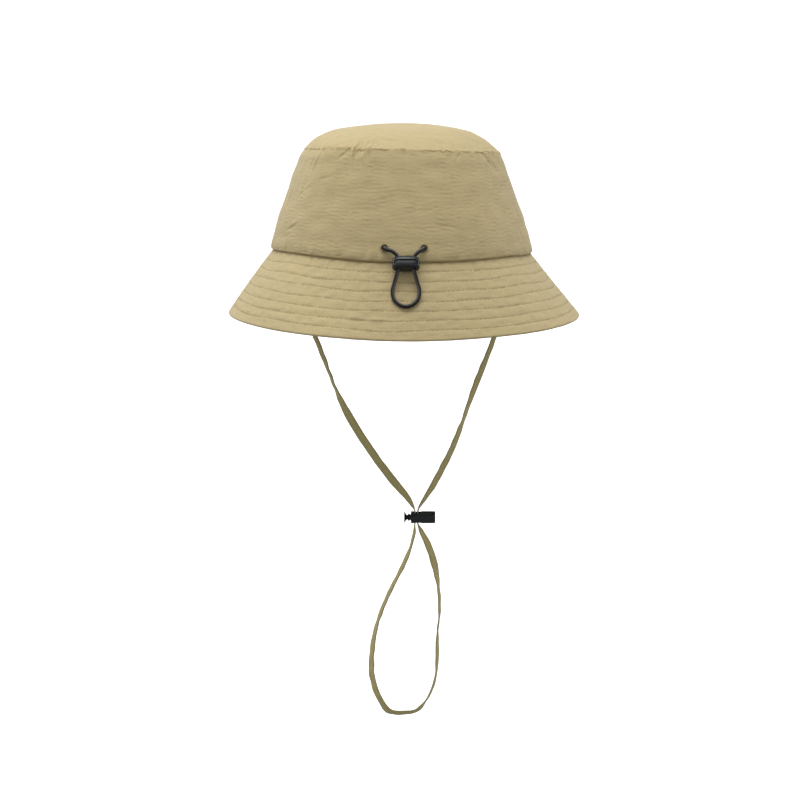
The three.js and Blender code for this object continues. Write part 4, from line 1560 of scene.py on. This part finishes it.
@dataclass
class Brim:
    """The brim: two plies with stitch rows that show on both faces."""

    form: HatForm
    cloth: BrimCloth
    columns: int = 820
    thickness: float = 2.0
    stitches: Stitches = field(default_factory=Stitches)
    row_offsets: Row = (0, 0.35, 0.75, 1.25, 2.1, 3.4, 4.7, 5.55, 6.05, 6.45)
    inner_offsets: Row = (0, 1.1, 3.4, 5.7)

    @property
    def sheet(self) -> Sheet:
        """The brim as a sheet of cloth."""
        return Sheet(self.form.brim, self.cloth.relief, self.thickness)

    def slopes(self, offsets: Sequence[float]) -> Array:
        """Shares of the slope of the mesh's rows, close together beside each stitch row."""
        band = self.form.brim_slope * self.cloth.pitch
        starts = np.arange(self.cloth.rows + 1) * band
        places = starts[:, None] + np.array(offsets) * band / 6.8
        return np.append(places.ravel(), self.form.brim_slope) / self.form.brim_slope

    def make_cloth(self) -> Piece:
        """Makes the brim: upper face, rounded rim and under face, closed into a ring."""
        angle = self.form.even_angles(self.columns)
        half = self.thickness / 2
        rim = 1 - half / self.form.brim_slope
        upper = self.slopes(self.row_offsets)
        upper = upper[upper < rim - 0.004][::-1]
        under = self.slopes(self.inner_offsets)
        under = under[under < rim - 0.004]
        front, _, groove = self.sheet.face(angle[None], 1 - upper[:, None])
        back, _, under_groove = self.under_face(angle[None], 1 - under[:, None])
        edge, normal, _ = self.sheet.face(angle[None], np.array([[1 - rim]]))
        inside, _, _ = self.sheet.face(angle[None], np.array([[1 - rim + 0.03]]))
        outward = unit(edge - inside)
        turn = np.linspace(np.pi, 0, 9)[:, None, None]
        middle = edge - normal * half
        roll = middle + half * (np.sin(turn) * outward + np.cos(turn) * normal)
        grid = np.concatenate([roll, front, back])
        values = np.concatenate([np.zeros(roll.shape[:2]), groove, under_groove])
        data = MeshData()
        girth = self.form.girth * 1.18
        add_grid(data, grid, grid_uv(grid, girth, loop_rows=True), values, loop_rows=True)
        return data.build("brim_cloth")

    def under_face(self, angle: Array, share: Array) -> Triple:
        """Points, normals and grooves of the under face, whose grooves mirror the upper ones.

        Args:
            angle: direction round the hat.
            share: 0 at the rim, 1 at the base seam.

        Returns:
            Points, normals out of the under face, and groove values.
        """
        angle, share = np.broadcast_arrays(angle, share)
        relief, groove = self.cloth.relief(angle, share)
        normal = surface_normal(self.form.brim, angle, share)
        depth = self.thickness + 0.5 * relief
        return self.form.brim(angle, share) - normal * depth[..., None], -normal, groove

    def make_stitches(self, name: str, face: Face) -> Piece:
        """Makes the stitches of one face, every row.

        Args:
            name: the piece's name.
            face: gives that face's points and normals.

        Returns:
            The stitches as one piece.
        """
        data = MeshData()
        angles = np.linspace(0, TURN, 1201)
        for row in range(1, self.cloth.rows + 1):
            strayed = self.cloth.row_shift(angles, np.full(angles.shape, float(row)))
            slope = row * self.cloth.pitch + strayed / self.form.brim_slope
            line = self.form.brim(angles, 1 - slope)
            along = path_length(line)
            starts = self.stitches.places(line[:-1])
            steps = np.linspace(0, self.stitches.length, 5)
            places = starts[:, None] + steps[None]
            angle = np.interp(np.mod(places, along[-1]), along, angles)
            shift = np.interp(angle, angles, slope)
            points, normals, _ = face(angle, 1 - shift)
            self.stitches.add(data, points, normals)
        return data.build(name)

    def make(self, finish: Material, thread: Material) -> None:
        """Makes and dresses the brim and its stitches."""
        dress(self.make_cloth(), Body.HAT, Slot.CLOTH, finish, "brim")
        upper = self.make_stitches("brim_stitches_upper", self.sheet.face)
        under = self.make_stitches("brim_stitches_under", self.under_face)
        dress(upper, Body.HAT, Slot.THREAD, thread)
        dress(under, Body.HAT, Slot.THREAD, thread)


@dataclass
class Eyelet:
    """Worked eyelet: a ring of thread wound over the edge of its hole."""

    side: Side
    centre: Array
    normal: Array
    bore: float = 3.5
    width: float = 6.2
    depth: float = 3.0
    windings: int = 34

    def make(self, thread: Material) -> None:
        """Makes the ring: a flattened round section whose size ripples with the windings.

        The section's radius is 1 + 0.1 * |cos(windings / 2 * angle + slant)|.
        """
        turn = np.arange(self.windings * 7) * TURN / (self.windings * 7)
        section = np.arange(18) * TURN / 18
        middle = (self.bore + self.width) / 4
        half = (self.width - self.bore) / 4
        ripple = np.abs(np.cos(self.windings / 2 * turn[None] + 0.6 * np.cos(section[:, None])))
        swell = 0.93 + 0.14 * ripple
        flat = np.abs(np.cos(section)) ** 0.8 * np.sign(np.cos(section))
        radius = middle + half * flat[:, None] * swell
        height = self.depth / 2 * np.sin(section)[:, None] * swell
        up = unit(np.array([0, 0, 1]) - self.normal * self.normal[2])
        right = np.cross(up, self.normal)
        ring = right * np.cos(turn)[:, None] + up * np.sin(turn)[:, None]
        grid = self.centre + radius[..., None] * ring[None] + height[..., None] * self.normal
        data = MeshData()
        uv = grid_uv(grid, np.pi * self.width, loop_rows=True)
        add_grid(data, grid, uv, loop_rows=True)
        name = self.side.name.lower()
        piece = data.build(f"eyelet_{name}_thread")
        dress(piece, Body.HAT, Slot.THREAD, thread, f"eyelet_{name}")


@dataclass
class Adjuster:
    """Size adjuster at the back: the elastic, its knots, the toggle and its button.

    Its own frame has x across, y up the brim's slope and z straight off the cloth.
    """

    form: HatForm
    crown: Crown
    shift: float = 1.1
    reach: float = 31
    cord: float = 2.5
    braid_rate: float = 1.9
    knot: float = 5.2
    roll: float = 0.7
    width: float = 17.8
    length: float = 8.8
    depth: float = 9.6
    drop: float = 2.8
    lift: float = 1.8
    top_round: float = 3.5
    low_round: float = 1.9
    bore_spacing: float = 10.2
    bore: float = 3.4
    window_width: float = 15.6
    window_height: float = 3.2
    window_drop: float = 0.9
    button_width: float = 15
    button_recess: float = 0.8
    travel: float = 1.2
    back_bar: float = 1
    fit: float = 0.3

    def __post_init__(self) -> None:
        """Works out the frame from the brim's back slope."""
        angle = np.array([BACK])
        share = np.array([1, 1 - self.reach / self.form.brim_slope])
        raised = self.form.seam_lift(angle)[0] * share**2
        seam, end = self.form.brim(angle, share) - raised[:, None] * [0, 0, 1]
        self.y_axis = unit((seam - end) * [0, 1, 1])
        self.z_axis = np.cross([1, 0, 0], self.y_axis)
        self.axes = np.stack([np.array([1.0, 0, 0]), self.y_axis, self.z_axis])
        self.origin = np.array([self.crown.eyelet_offset + self.shift, seam[1], seam[2]])

    def outside(self, local: Array) -> Array:
        """Points of the adjuster's own frame in the hat's."""
        return self.origin + np.asarray(local, float) @ self.axes

    def inside(self, points: Array) -> Array:
        """Points of the hat's frame in the adjuster's own."""
        return (points - self.origin) @ self.axes.T

    def half_route(self, side: Side) -> Array:
        """Middle line of one half of the elastic, from its knot to the loop's bottom."""
        centre, normal = self.crown.eyelet_pose(side)
        knot = self.crown.thickness / 2 + 2 * self.fit + self.roll + self.knot / 2
        sign = side.value
        through = self.inside(centre + normal * np.array([[-knot], [-1], [1.1], [2.3]]))
        through[3] += [-sign * 1, -1.1, 0]
        bore = sign * self.bore_spacing / 2
        out = self.depth / 2 + self.lift
        top, low = self.length / 2 - self.drop, -self.length / 2 - self.drop
        end, touch = -self.reach, self.cord / 2 + self.fit
        rest = [
            [sign * 8.3, top + 3.4, out + 0.9],
            [bore + sign * 0.6, top + 0.9, out + 0.3],
            [bore, top - 1.6, out],
            [bore, low + 1.6, out],
            [bore + sign * 0.2, low - 1, out - 0.2],
            [sign * 7.1, low - 7, touch + 1.9],
            [sign * 8.7, end + 10.4, touch + 0.5],
            [sign * 7.4, end + 4.7, touch],
            [sign * 4, end + 1.2, touch],
        ]
        return np.concatenate([through, rest])

    def route(self) -> Array:
        """Middle line of the whole elastic, in the hat's frame."""
        left, right = self.half_route(Side.LEFT), self.half_route(Side.RIGHT)
        bottom = [[0, -self.reach, self.cord / 2 + self.fit]]
        chosen = np.concatenate([left, bottom, right[::-1]])
        return resample(self.outside(curve_through(chosen, 24)), 0.28)

    def braid(self, path: Array, sides: int) -> Array:
        """Section of the braided cord at each point of its path.

        The radius dips between yarns, where the sines of the two crossing spirals are small.

        Args:
            path: the middle line.
            sides: points round the section.

        Returns:
            The section's offsets, by point and side.
        """
        along = path_length(path)[:, None]
        turn = np.arange(sides)[None] * TURN / sides
        left = np.abs(np.sin(4 * turn + along * self.braid_rate))
        right = np.abs(np.sin(4 * turn - along * self.braid_rate))
        bulge = np.maximum(left, right)
        radius = self.cord / 2 * (0.9 + 0.14 * bulge)
        return radius[..., None] * np.stack([np.cos(turn), np.sin(turn)], -1)

    def make_cord(self, finish: Material) -> None:
        path = self.route()
        data = MeshData()
        frames = carried_frames(path, self.z_axis)
        add_tube(data, path, frames, self.braid(path, 24))
        cord = data.build("elastic_cord_braid")
        dress(cord, Body.HAT, Slot.ELASTIC, finish, "elastic_cord")
        knots = [self.make_knot(side, finish) for side in Side]
        exit_point = self.crown.eyelet_pose(Side.LEFT)[0] * MM
        LOG.info("elastic: %.1f mm", path_length(path)[-1])

    def make_knot(self, side: Side, finish: Material) -> Piece:
        """Makes a stop knot: a trefoil, ((2 + cos 3t) cos 2t, (2 + cos 3t) sin 2t, sin 3t).

        Args:
            side: which end of the elastic.
            finish: the elastic's material.

        Returns:
            The knot.
        """
        normal = self.crown.eyelet_pose(side)[1]
        middle = self.outside(self.half_route(side)[:1])[0]
        t = np.linspace(0, TURN, 121)
        ring = 2 + np.cos(3 * t)
        size = self.knot / 2 / 3.1
        local = np.stack([ring * np.cos(2 * t), ring * np.sin(2 * t), 1.5 * np.sin(3 * t)], -1)
        up = unit(np.array([0, 0, 1]) - normal * normal[2])
        axes = np.stack([np.cross(up, normal), up, normal])
        path = middle + local * size @ axes
        data = MeshData()
        frames = carried_frames(path, normal)
        turn = np.arange(14) * TURN / 14
        ring_section = 0.36 * self.cord * np.stack([np.cos(turn), np.sin(turn)], -1)
        add_tube(data, path, frames, np.repeat(ring_section[None], len(path), 0))
        knot = data.build(f"elastic_knot_{side.name.lower()}")
        dress(knot, Body.HAT, Slot.ELASTIC, finish)
        return knot

    def block(
        self,
        name: str,
        size: Size,
        middle: Sequence[float],
        power: float,
        rounds: tuple[float, float],
        along: int,
    ) -> Piece:
        """Makes a rounded block of the adjuster's frame.

        Its section is a squared oval that keeps its size along one axis and shrinks over a
        quarter circle at each end.

        Args:
            name: its name.
            size: its size along x, y and z.
            middle: its middle.
            power: how square the section is.
            rounds: radii of the low and the high end.
            along: axis that the section is carried along, 1 for y or 2 for z.

        Returns:
            The block.
        """
        other = 3 - along
        half = np.array(size) / 2
        turn = np.linspace(0, np.pi / 2, 7)
        low, high = rounds
        inset = np.concatenate([low * (1 - np.sin(turn)), high * (1 - np.sin(turn[::-1]))])
        low_place = low * (1 - np.cos(turn)) - half[along]
        high_place = half[along] - high * (1 - np.cos(turn[::-1]))
        place = np.concatenate([low_place, high_place])
        cap = np.array([0, 0.5, 0.85])
        shrink = np.concatenate([cap, np.ones(len(inset)), cap[::-1]])[:, None]
        inset = np.concatenate([[inset[0]] * 3, inset, [inset[-1]] * 3])[:, None]
        place = np.concatenate([[place[0]] * 3, place, [place[-1]] * 3])[:, None]
        angle = (np.arange(72) * TURN / 72)[None]
        x, w = oval(half[0] - inset, half[other] - inset, power, angle)
        grid = np.empty((*x.shape, 3))
        grid[..., 0], grid[..., other] = x * shrink, w * shrink
        grid[..., along] = place
        grid = self.outside(grid + np.array(middle))
        data = MeshData()
        add_grid(data, grid, grid_uv(grid, 2 * (size[0] + size[other])), poles=True)
        return data.build(name)

    def make_toggle(self, finish: Material) -> None:
        """Makes the toggle's body with its bores and window, and the button inside it."""
        middle = np.array([0, -self.drop, self.depth / 2 + self.lift])
        size = (self.width, self.length, self.depth)
        body = self.block("toggle_case", size, middle, 2.9, (self.low_round, self.top_round), 1)
        slot_low = -self.cord / 2 - self.fit
        back = slot_low - self.back_bar
        front = self.depth / 2 - self.button_recess
        pocket_back = back - self.travel - self.fit
        pocket_depth = self.depth - pocket_back
        pocket_middle = middle + [0, -self.window_drop, (self.depth + pocket_back) / 2]
        size = (self.window_width, self.window_height, pocket_depth)
        pocket = self.block("pocket", size, pocket_middle, 7, CRISP, 2)
        bore = self.bore / 2
        bores = [self.cutter(middle, side, self.bore, (-bore, bore), 2) for side in Side]
        carve(body, [pocket, *bores], 0.22)
        dress(body, Body.HAT, Slot.PLASTIC, finish, "toggle_body")
        size = (self.button_width, self.window_height - 2 * self.fit, front - back)
        button_middle = middle + [0, -self.window_drop, (front + back) / 2]
        button = self.block("toggle_button_block", size, button_middle, 5, (0.35, 0.35), 1)
        span = slot_low, self.cord / 2 + self.fit + self.travel
        wide = self.cord + 2 * self.fit
        slots = [self.cutter(middle, side, wide, span, 6) for side in Side]
        carve(button, slots, 0.12)
        dress(button, Body.BUTTON, Slot.PLASTIC, finish, "toggle_slider")

    def cutter(self, middle: Array, side: Side, width: float, span: Row, power: float) -> Piece:
        """Makes a cutter that runs along one of the two cords through the toggle.

        Args:
            middle: the toggle's middle.
            side: which cord.
            width: its size across.
            span: its back and front end, from the middle.
            power: how square its section is.

        Returns:
            The cutter.
        """
        low, high = span
        place = middle + [side.value * self.bore_spacing / 2, 0, (low + high) / 2]
        size = (width, 2 * self.length, high - low)
        return self.block(f"cutter_{side.name.lower()}", size, place, power, CRISP, 1)

    def make(self, elastic: Material, plastic: Material) -> None:
        """Makes and dresses the adjuster's pieces."""
        self.make_cord(elastic)
        self.make_toggle(plastic)


def turned(name: str, profile: Array, origin: Array, ribs: Surface, columns: int) -> Piece:
    """Makes a body turned about the level axis through its origin.

    Args:
        name: its name.
        profile: radius and place along x of each row, starting and ending on the axis.
        origin: where x is 0.
        ribs: factor on the radius by angle and row.
        columns: steps round.

    Returns:
        The body.
    """
    turn = (np.arange(columns) * TURN / columns)[None]
    radius = profile[:, :1] * ribs(turn, np.arange(len(profile))[:, None])
    along = np.broadcast_to(profile[:, 1:], radius.shape)
    grid = np.stack([along, radius * np.cos(turn), radius * np.sin(turn)], -1) + origin
    data = MeshData()
    add_grid(data, grid, grid_uv(grid, TURN * profile[:, 0].max()), poles=True)
    return data.build(name)


@dataclass
class StrapLock:
    """Push lock of the chin strap: a ribbed barrel and a sprung plunger with a flared head."""

    x: float = 7
    z: float = -194.8
    length: float = 17.9
    diameter: float = 9
    flutes: int = 14
    flute_depth: float = 0.32
    bore: float = 6.4
    end_wall: float = 1.7
    hole_start: float = 2
    hole_length: float = 5.6
    hole_width: float = 4.9
    stem: float = 5.8
    head: float = 8.2
    reach: float = 5.1
    stem_length: float = 8.5
    slot_start: float = 0.35
    slot_length: float = 5.35
    slot_width: float = 4.3
    head_radii: Row = (
        *(0.93, 1, 0.98, 0.8, 0.62, 0.47, 0.42),
        *(0.42, 0.66, 0.69, 0.69, 0.66, 0.5, 0.5),
    )
    head_places: Row = (
        *(1, 0.98, 0.92, 0.83, 0.74, 0.65, 0.58),
        *(0.5, 0.37, 0.35, 0.26, 0.24, 0.18, 0.06),
    )

    @property
    def origin(self) -> Array:
        """Middle of the barrel's open end."""
        return np.array([self.x, 0, self.z])

    def slot_box(self, name: str, start: float, length: float, width: float) -> Piece:
        """Makes an upright cutter with rounded corners.

        Args:
            name: its name.
            start: where it starts along the barrel.
            length: its size along the barrel.
            width: its size front to back.

        Returns:
            The cutter.
        """
        angle = (np.arange(48) * TURN / 48)[None]
        x, y = oval(length / 2, width / 2, 7, angle)
        shrink = np.array([0, 1, 1, 1, 0])[:, None]
        height = np.array([-1, -1, 0, 1, 1])[:, None] * self.diameter
        x = x * shrink + start + length / 2
        grid = np.stack(np.broadcast_arrays(x, y * shrink, height), -1)
        data = MeshData()
        add_grid(data, grid + self.origin, grid_uv(grid, 2 * (length + width)), poles=True)
        return data.build(name)

    def make_barrel(self) -> Piece:
        """Makes the barrel: closed end, ribbed side, chamfered mouth and bore."""
        full, inner, end = self.diameter / 2, self.bore / 2, self.length
        floor = end - self.end_wall
        side = np.linspace(end - 0.7, 0.5, 16)
        outer = [[0, end], [full * 0.5, end], [full - 0.55, end]]
        outer += [[full - 0.3, end - 0.08], [full - 0.05, end - 0.35]]
        outer += [[full, place] for place in side]
        mouth = [[full - 0.12, 0.12], [full - 0.4, 0], [inner + 0.3, 0], [inner, 0.25]]
        bored = [[inner, floor * 0.5], [inner, floor], [inner * 0.5, floor], [0, floor]]
        profile = np.array(outer + mouth + bored, float)
        ribbed = (np.arange(len(profile)) >= 4) & (np.arange(len(profile)) < 5 + len(side))
        smooth_end = profile[:, 1] > end - 2.2

        def ribs(turn: Array, row: Array) -> Array:
            """Radius factor: shallow rounded flutes along the side, none on the last band."""
            dip = (0.5 - 0.5 * np.cos(self.flutes * turn)) ** 1.4
            depth = self.flute_depth / full * (ribbed & ~smooth_end)[row]
            return 1 - depth * dip

        barrel = turned("strap_lock_case", profile, self.origin, ribs, 168)
        hole = self.slot_box("strap_hole", self.hole_start, self.hole_length, self.hole_width)
        return carve(barrel, [hole], 0.16)

    def make_plunger(self) -> Piece:
        """Makes the plunger: dished flared head, tooth, stem and the slot for the strap."""
        radii, places = np.array(self.head_radii), np.array(self.head_places)
        head = np.stack([radii * self.head / 2, -places * self.reach], -1)
        deep = np.array([[0, 0.5], [0.2, 0.42], [0.4, 0.12]])
        dish = deep * [self.head, 1] + [0, -self.reach]
        stem = self.stem / 2
        root = -self.head_places[-1] * self.reach
        body = [[stem - 0.15, root], [stem, root + 0.15]]
        body += [[stem, place] for place in np.linspace(0.4, self.stem_length - 0.3, 6)]
        body += [[radius, self.stem_length] for radius in (stem - 0.25, stem * 0.5, 0)]
        profile = np.concatenate([dish, head, body])

        def plain(turn: Array, row: Array) -> Array:
            """Radius factor one."""
            return np.ones(np.broadcast_shapes(turn.shape, row.shape))

        plunger = turned("strap_lock_push", profile, self.origin, plain, 72)
        slot = self.slot_box("plunger_slot", self.slot_start, self.slot_length, self.slot_width)
        return carve(plunger, [slot], 0.1)

    def make(self, finish: Material) -> list[Piece]:
        """Makes and dresses the lock, and returns its two pieces."""
        barrel, plunger = self.make_barrel(), self.make_plunger()
        dress(barrel, Body.HAT, Slot.PLASTIC, finish, "strap_lock_barrel")
        dress(plunger, Body.PLUNGER, Slot.PLASTIC, finish, "strap_lock_plunger")
        return [barrel, plunger]


# Middle line of the strap, the turn of its face from the back view in degrees, and the share
# of its full width
STRAP_ROUTE = np.array([
    [-87.5, 0, 8.5, 90, 1],
    [-87.5, 0, 3, 90, 1],
    [-87.3, 0, -2, 90, 1],
    [-85.6, 0.1, -7, 90, 1],
    [-80.2, 0.4, -18, 88, 1],
    [-74.5, 0.8, -31.5, 84, 1],
    [-68.2, 1.2, -46.2, 78, 1],
    [-61.9, 1.5, -62.1, 56.5, 1],
    [-57.43, 1.6, -73.61, 56.5, 1],
    [-53.26, 1.5, -85.31, 65.5, 1],
    [-48.76, 1.2, -97.06, 68, 1],
    [-43.51, 0.8, -108.9, 43.5, 1],
    [-37.33, 0.4, -120.74, 17.5, 1],
    [-30.4, 0.2, -132.52, 17.5, 1],
    [-22.58, 0, -144.38, 17.5, 1],
    [-14.27, 0, -156.45, 17.5, 1],
    [-5.07, 0, -168.52, 17.5, 1],
    [4.61, 0, -180.32, 29, 0.8],
    [8.2, 0, -186.3, 58, 0.64],
    [9.85, 0, -189.8, 90, 0.6],
    [10.05, 0, -192.1, 90, 0.6],
    [10.05, 0, -197.6, 90, 0.6],
    [9.95, 0, -200.2, 90, 0.6],
    [9.6, 0.2, -205.99, 72.5, 0.72],
    [6.76, 0.6, -217.45, 79, 0.95],
    [2.18, 1, -229.71, 69, 1],
    [-3.72, 1.4, -242.09, 78, 1],
    [-9.74, 1.7, -254.41, 74, 1],
    [-14.74, 1.9, -266.74, 73.5, 1],
    [-18.73, 2, -279.25, 72, 1],
    [-21.17, 2, -291.65, 61, 1],
    [-22.59, 1.9, -304.21, 57, 1],
    [-22.39, 1.7, -316.76, 45.5, 1],
    [-19.56, 1.4, -329.35, 44.5, 1],
    [-15.18, 1.1, -338.75, 41, 1],
    [-10.4, 0.8, -345.6, 31.5, 1],
    [-5.9, 0.5, -347, 42.5, 1],
    [1.5, 0, -347.11, 42.5, 1],
    [7.9, -0.4, -346.46, 48.5, 1],
    [12.97, -0.7, -343.97, 50, 1],
    [17.72, -0.9, -337.92, 69, 1],
    [22.38, -1.1, -329.65, 70.5, 1],
    [25.85, -1.2, -316.97, 77, 1],
    [26.71, -1.2, -304.32, 67, 1],
    [26.77, -1.1, -291.71, 70.5, 1],
    [27.29, -1, -279.23, 82, 1],
    [28.47, -0.8, -266.61, 75, 1],
    [28.07, -0.6, -254.27, 74.5, 1],
    [26.6, -0.4, -241.84, 65.5, 1],
    [24.14, -0.3, -229.45, 42, 1],
    [20.2, -0.1, -217.1, 42, 0.95],
    [14.68, 0, -205.77, 50.5, 0.72],
    [12.05, 0, -200.2, 90, 0.6],
    [11.8, 0, -197.6, 90, 0.6],
    [11.8, 0, -192.1, 90, 0.6],
    [12, 0, -189.8, 90, 0.6],
    [13.5, 0, -186.3, 65, 0.64],
    [16.94, 0, -180.89, 51, 0.8],
    [24.22, 0, -168.88, 41.5, 1],
    [30.31, 0.1, -156.81, 37.5, 1],
    [36.32, 0.3, -144.79, 47, 1],
    [41.07, 0.5, -132.85, 49, 1],
    [45.31, 0.7, -121.01, 63.5, 1],
    [49.33, 0.8, -109.12, 59, 1],
    [53.31, 0.8, -97.29, 46, 1],
    [57.84, 0.8, -85.57, 44, 1],
    [62.36, 0.7, -73.84, 52.5, 1],
    [66.5, 0.6, -62.1, 52.5, 1],
    [71.9, 0.5, -46.2, 80, 1],
    [76.8, 0.3, -31.5, 85, 1],
    [81.6, 0.1, -18, 88, 1],
    [85.8, 0, -7, 90, 1],
    [87.3, 0, -2, 90, 1],
    [87.5, 0, 3, 90, 1],
    [87.5, 0, 8.5, 90, 1],
])


@dataclass
class ChinStrap:
    """The chin strap: one flat tape from side seam to side seam, through the lock twice."""

    width: float = 6.2
    thickness: float = 0.95
    step: float = 0.9
    sides: int = 30
    edge: float = 0.13

    def make(self, finish: Material, lock: list[Piece]) -> None:
        """Each row of the route gives the middle line, the turn of the face from the back view
        and the share of the full width that shows.

        Args:
            finish: the tape's material.
            lock: the pieces on the strap; not used.
        """
        rows = STRAP_ROUTE
        fine = 12
        curve = curve_through(rows[:, :3], fine)
        places = path_length(curve)
        path = resample(curve, self.step)
        along = path_length(path)
        turn = np.radians(smooth_column(places[::fine], rows[:, 3], along))
        gather = smooth_column(places[::fine], rows[:, 4], along)
        tangent = unit(np.gradient(path, axis=0))
        level = unit(np.cross([0, 1, 0], tangent))
        deep = np.cross(tangent, level)
        face = level * np.cos(turn)[:, None] + deep * np.sin(turn)[:, None]
        square = np.cross(tangent, face)
        angle = np.arange(self.sides) * TURN / self.sides
        x, y = oval(1.0, 1.0, 5.5, angle)
        wide = self.width / 2 * gather[:, None] * x[None]
        roll = 1 + self.edge * ramp(np.abs(x), 0.7, 0.95)
        thick = self.thickness / 2 * y * roll
        pleat = 0.45 * (1 - gather)[:, None] * np.cos(1.5 * TURN * x / 2)[None]
        ripple = 0.12 * Waves(60, 9, 3).at(along[:, None], 2 * x[None]) * gather[:, None] ** 4
        section = np.stack([wide, thick[None] + pleat + ripple], -1)
        data = MeshData()
        add_tube(data, path, (tangent, face, square), section)
        strap = data.build("chin_strap_tape")
        dress(strap, Body.HAT, Slot.TAPE, finish, "chin_strap")
        LOG.info("chin strap: %.1f mm", along[-1])


@dataclass
class Studio:
    """White studio: pale floor, soft lights and the camera of the picture."""

    camera_x: float = -0.00115
    camera_distance: float = 1.045
    camera_height: float = 0.075
    camera_pitch: float = 9.873
    pixels_long: float = 1455.4
    picture: float = 800
    sensor: float = 36
    floor_z: float = -1.3
    floor_half: float = 14
    backdrop: float = 1.25
    world_level: float = 0.595
    world_rise: float = 0.05
    top_power: float = 16.6
    top_place: Size = (-0.1, -0.35, 1.5)
    top_size: float = 1
    left_power: float = 9
    left_place: Size = (-1.4, 0.35, 0.75)
    right_power: float = 4.7
    right_place: Size = (1.4, 0.4, 0.3)
    side_size: float = 0.9
    side_target: Size = (0, 0, -0.02)

    def make_camera(self) -> None:
        """Places the camera behind the hat, a little above it and looking slightly down."""
        data = bpy.data.cameras.new("camera")
        data.sensor_width = self.sensor
        data.lens = self.pixels_long / self.picture * self.sensor
        camera = bpy.data.objects.new("camera", data)
        camera.location = (self.camera_x, -self.camera_distance, self.camera_height)
        camera.rotation_euler = (np.radians(90 - self.camera_pitch), 0, 0)
        bpy.context.scene.collection.objects.link(camera)
        bpy.context.scene.camera = camera

    def make_floor(self) -> None:
        """Lays the pale floor far below the hanging strap."""
        square = np.array([[-1, -1, 0], [1, -1, 0], [1, 1, 0], [-1, 1, 0]]) * self.floor_half
        mesh = bpy.data.meshes.new("floor")
        mesh.from_pydata((square + [0, 0, self.floor_z]).tolist(), [], [(0, 1, 2, 3)])
        floor = bpy.data.objects.new("floor", mesh)
        bpy.context.scene.collection.objects.link(floor)
        values = dict(Roughness=0.9, Emission_Color=(1, 1, 1, 1))
        finish, graph, shader = shaded("Pale floor", **values)
        cloud = graph.noise(graph.place(), 3.0)
        colour = graph.blend(cloud, (0.38, 0.38, 0.38, 1), (0.42, 0.42, 0.42, 1))
        graph.link(colour, shader.inputs["Base Color"])
        seen = graph.node("LightPath").outputs["Is Camera Ray"]
        glow = graph.maths("MULTIPLY", seen, self.backdrop)
        graph.link(glow, shader.inputs["Emission Strength"])
        mesh.materials.append(finish)

    def make_world(self) -> None:
        """Lights the scene evenly with white, brighter where it is seen behind the hat."""
        world = bpy.data.worlds.new("studio")
        world.use_nodes = True
        graph = Graph(world.node_tree)
        seen = graph.node("LightPath").outputs["Is Camera Ray"]
        heading = graph.node("TexCoord").outputs["Generated"]
        up = graph.node("SeparateXYZ", {0: heading}).outputs[2]
        soft = graph.maths("MULTIPLY_ADD", up, self.world_rise, self.world_level)
        bright = graph.maths("MULTIPLY", seen, self.backdrop)
        strength = graph.maths("MAXIMUM", soft, bright)
        light = graph.node("Background", {"Color": (1, 1, 1, 1), "Strength": strength})
        output = graph.node("OutputWorld")
        graph.link(light.outputs[0], output.inputs[0])
        bpy.context.scene.world = world

    def make_light(self, name: str, place: Size, target: Size, size: float, power: float) -> None:
        """Adds a soft square light.

        Args:
            name: its name.
            place: where it stands.
            target: the point that it faces.
            size: its side.
            power: its power in watts.
        """
        data = bpy.data.lights.new(name, "AREA")
        data.shape = "SQUARE"
        data.size = size
        data.energy = power
        light = bpy.data.objects.new(name, data)
        ahead = unit(np.array(target, float) - np.array(place, float))
        heading = np.arctan2(-ahead[0], ahead[1])
        light.rotation_euler = (np.arccos(-ahead[2]), 0, heading)
        light.location = place
        bpy.context.scene.collection.objects.link(light)

    def make(self) -> None:
        """Makes the camera, the floor and the lights."""
        self.make_camera()
        self.make_floor()
        self.make_world()
        sides = self.side_target, self.side_size
        self.make_light("top_light", self.top_place, (0, 0, 0), self.top_size, self.top_power)
        self.make_light("left_light", self.left_place, *sides, self.left_power)
        self.make_light("right_light", self.right_place, *sides, self.right_power)
        bpy.context.scene.view_settings.view_transform = "Standard"


def main() -> None:
    """Builds the studio and the hat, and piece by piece."""
    logging.basicConfig(level=logging.INFO, format="%(name)s %(message)s")
    Studio().make()
    patterns = Patterns()
    cloth = ClothFinish(patterns).material()
    thread = ThreadFinish(patterns).material()
    tape = TapeFinish(patterns).material()
    elastic = ElasticFinish(patterns).material()
    plastic = PlasticFinish(patterns).material()
    form = HatForm()
    crown = Crown(form, CrinkledCloth(form))
    lock = StrapLock().make(plastic)
    ChinStrap().make(tape, lock)
    Adjuster(form, crown).make(elastic, plastic)
    crown.make(cloth)
    Brim(form, BrimCloth(form)).make(cloth, thread)
    for side in Side:
        Eyelet(side, *crown.eyelet_pose(side)).make(thread)


if __name__ == "__main__":
    main()
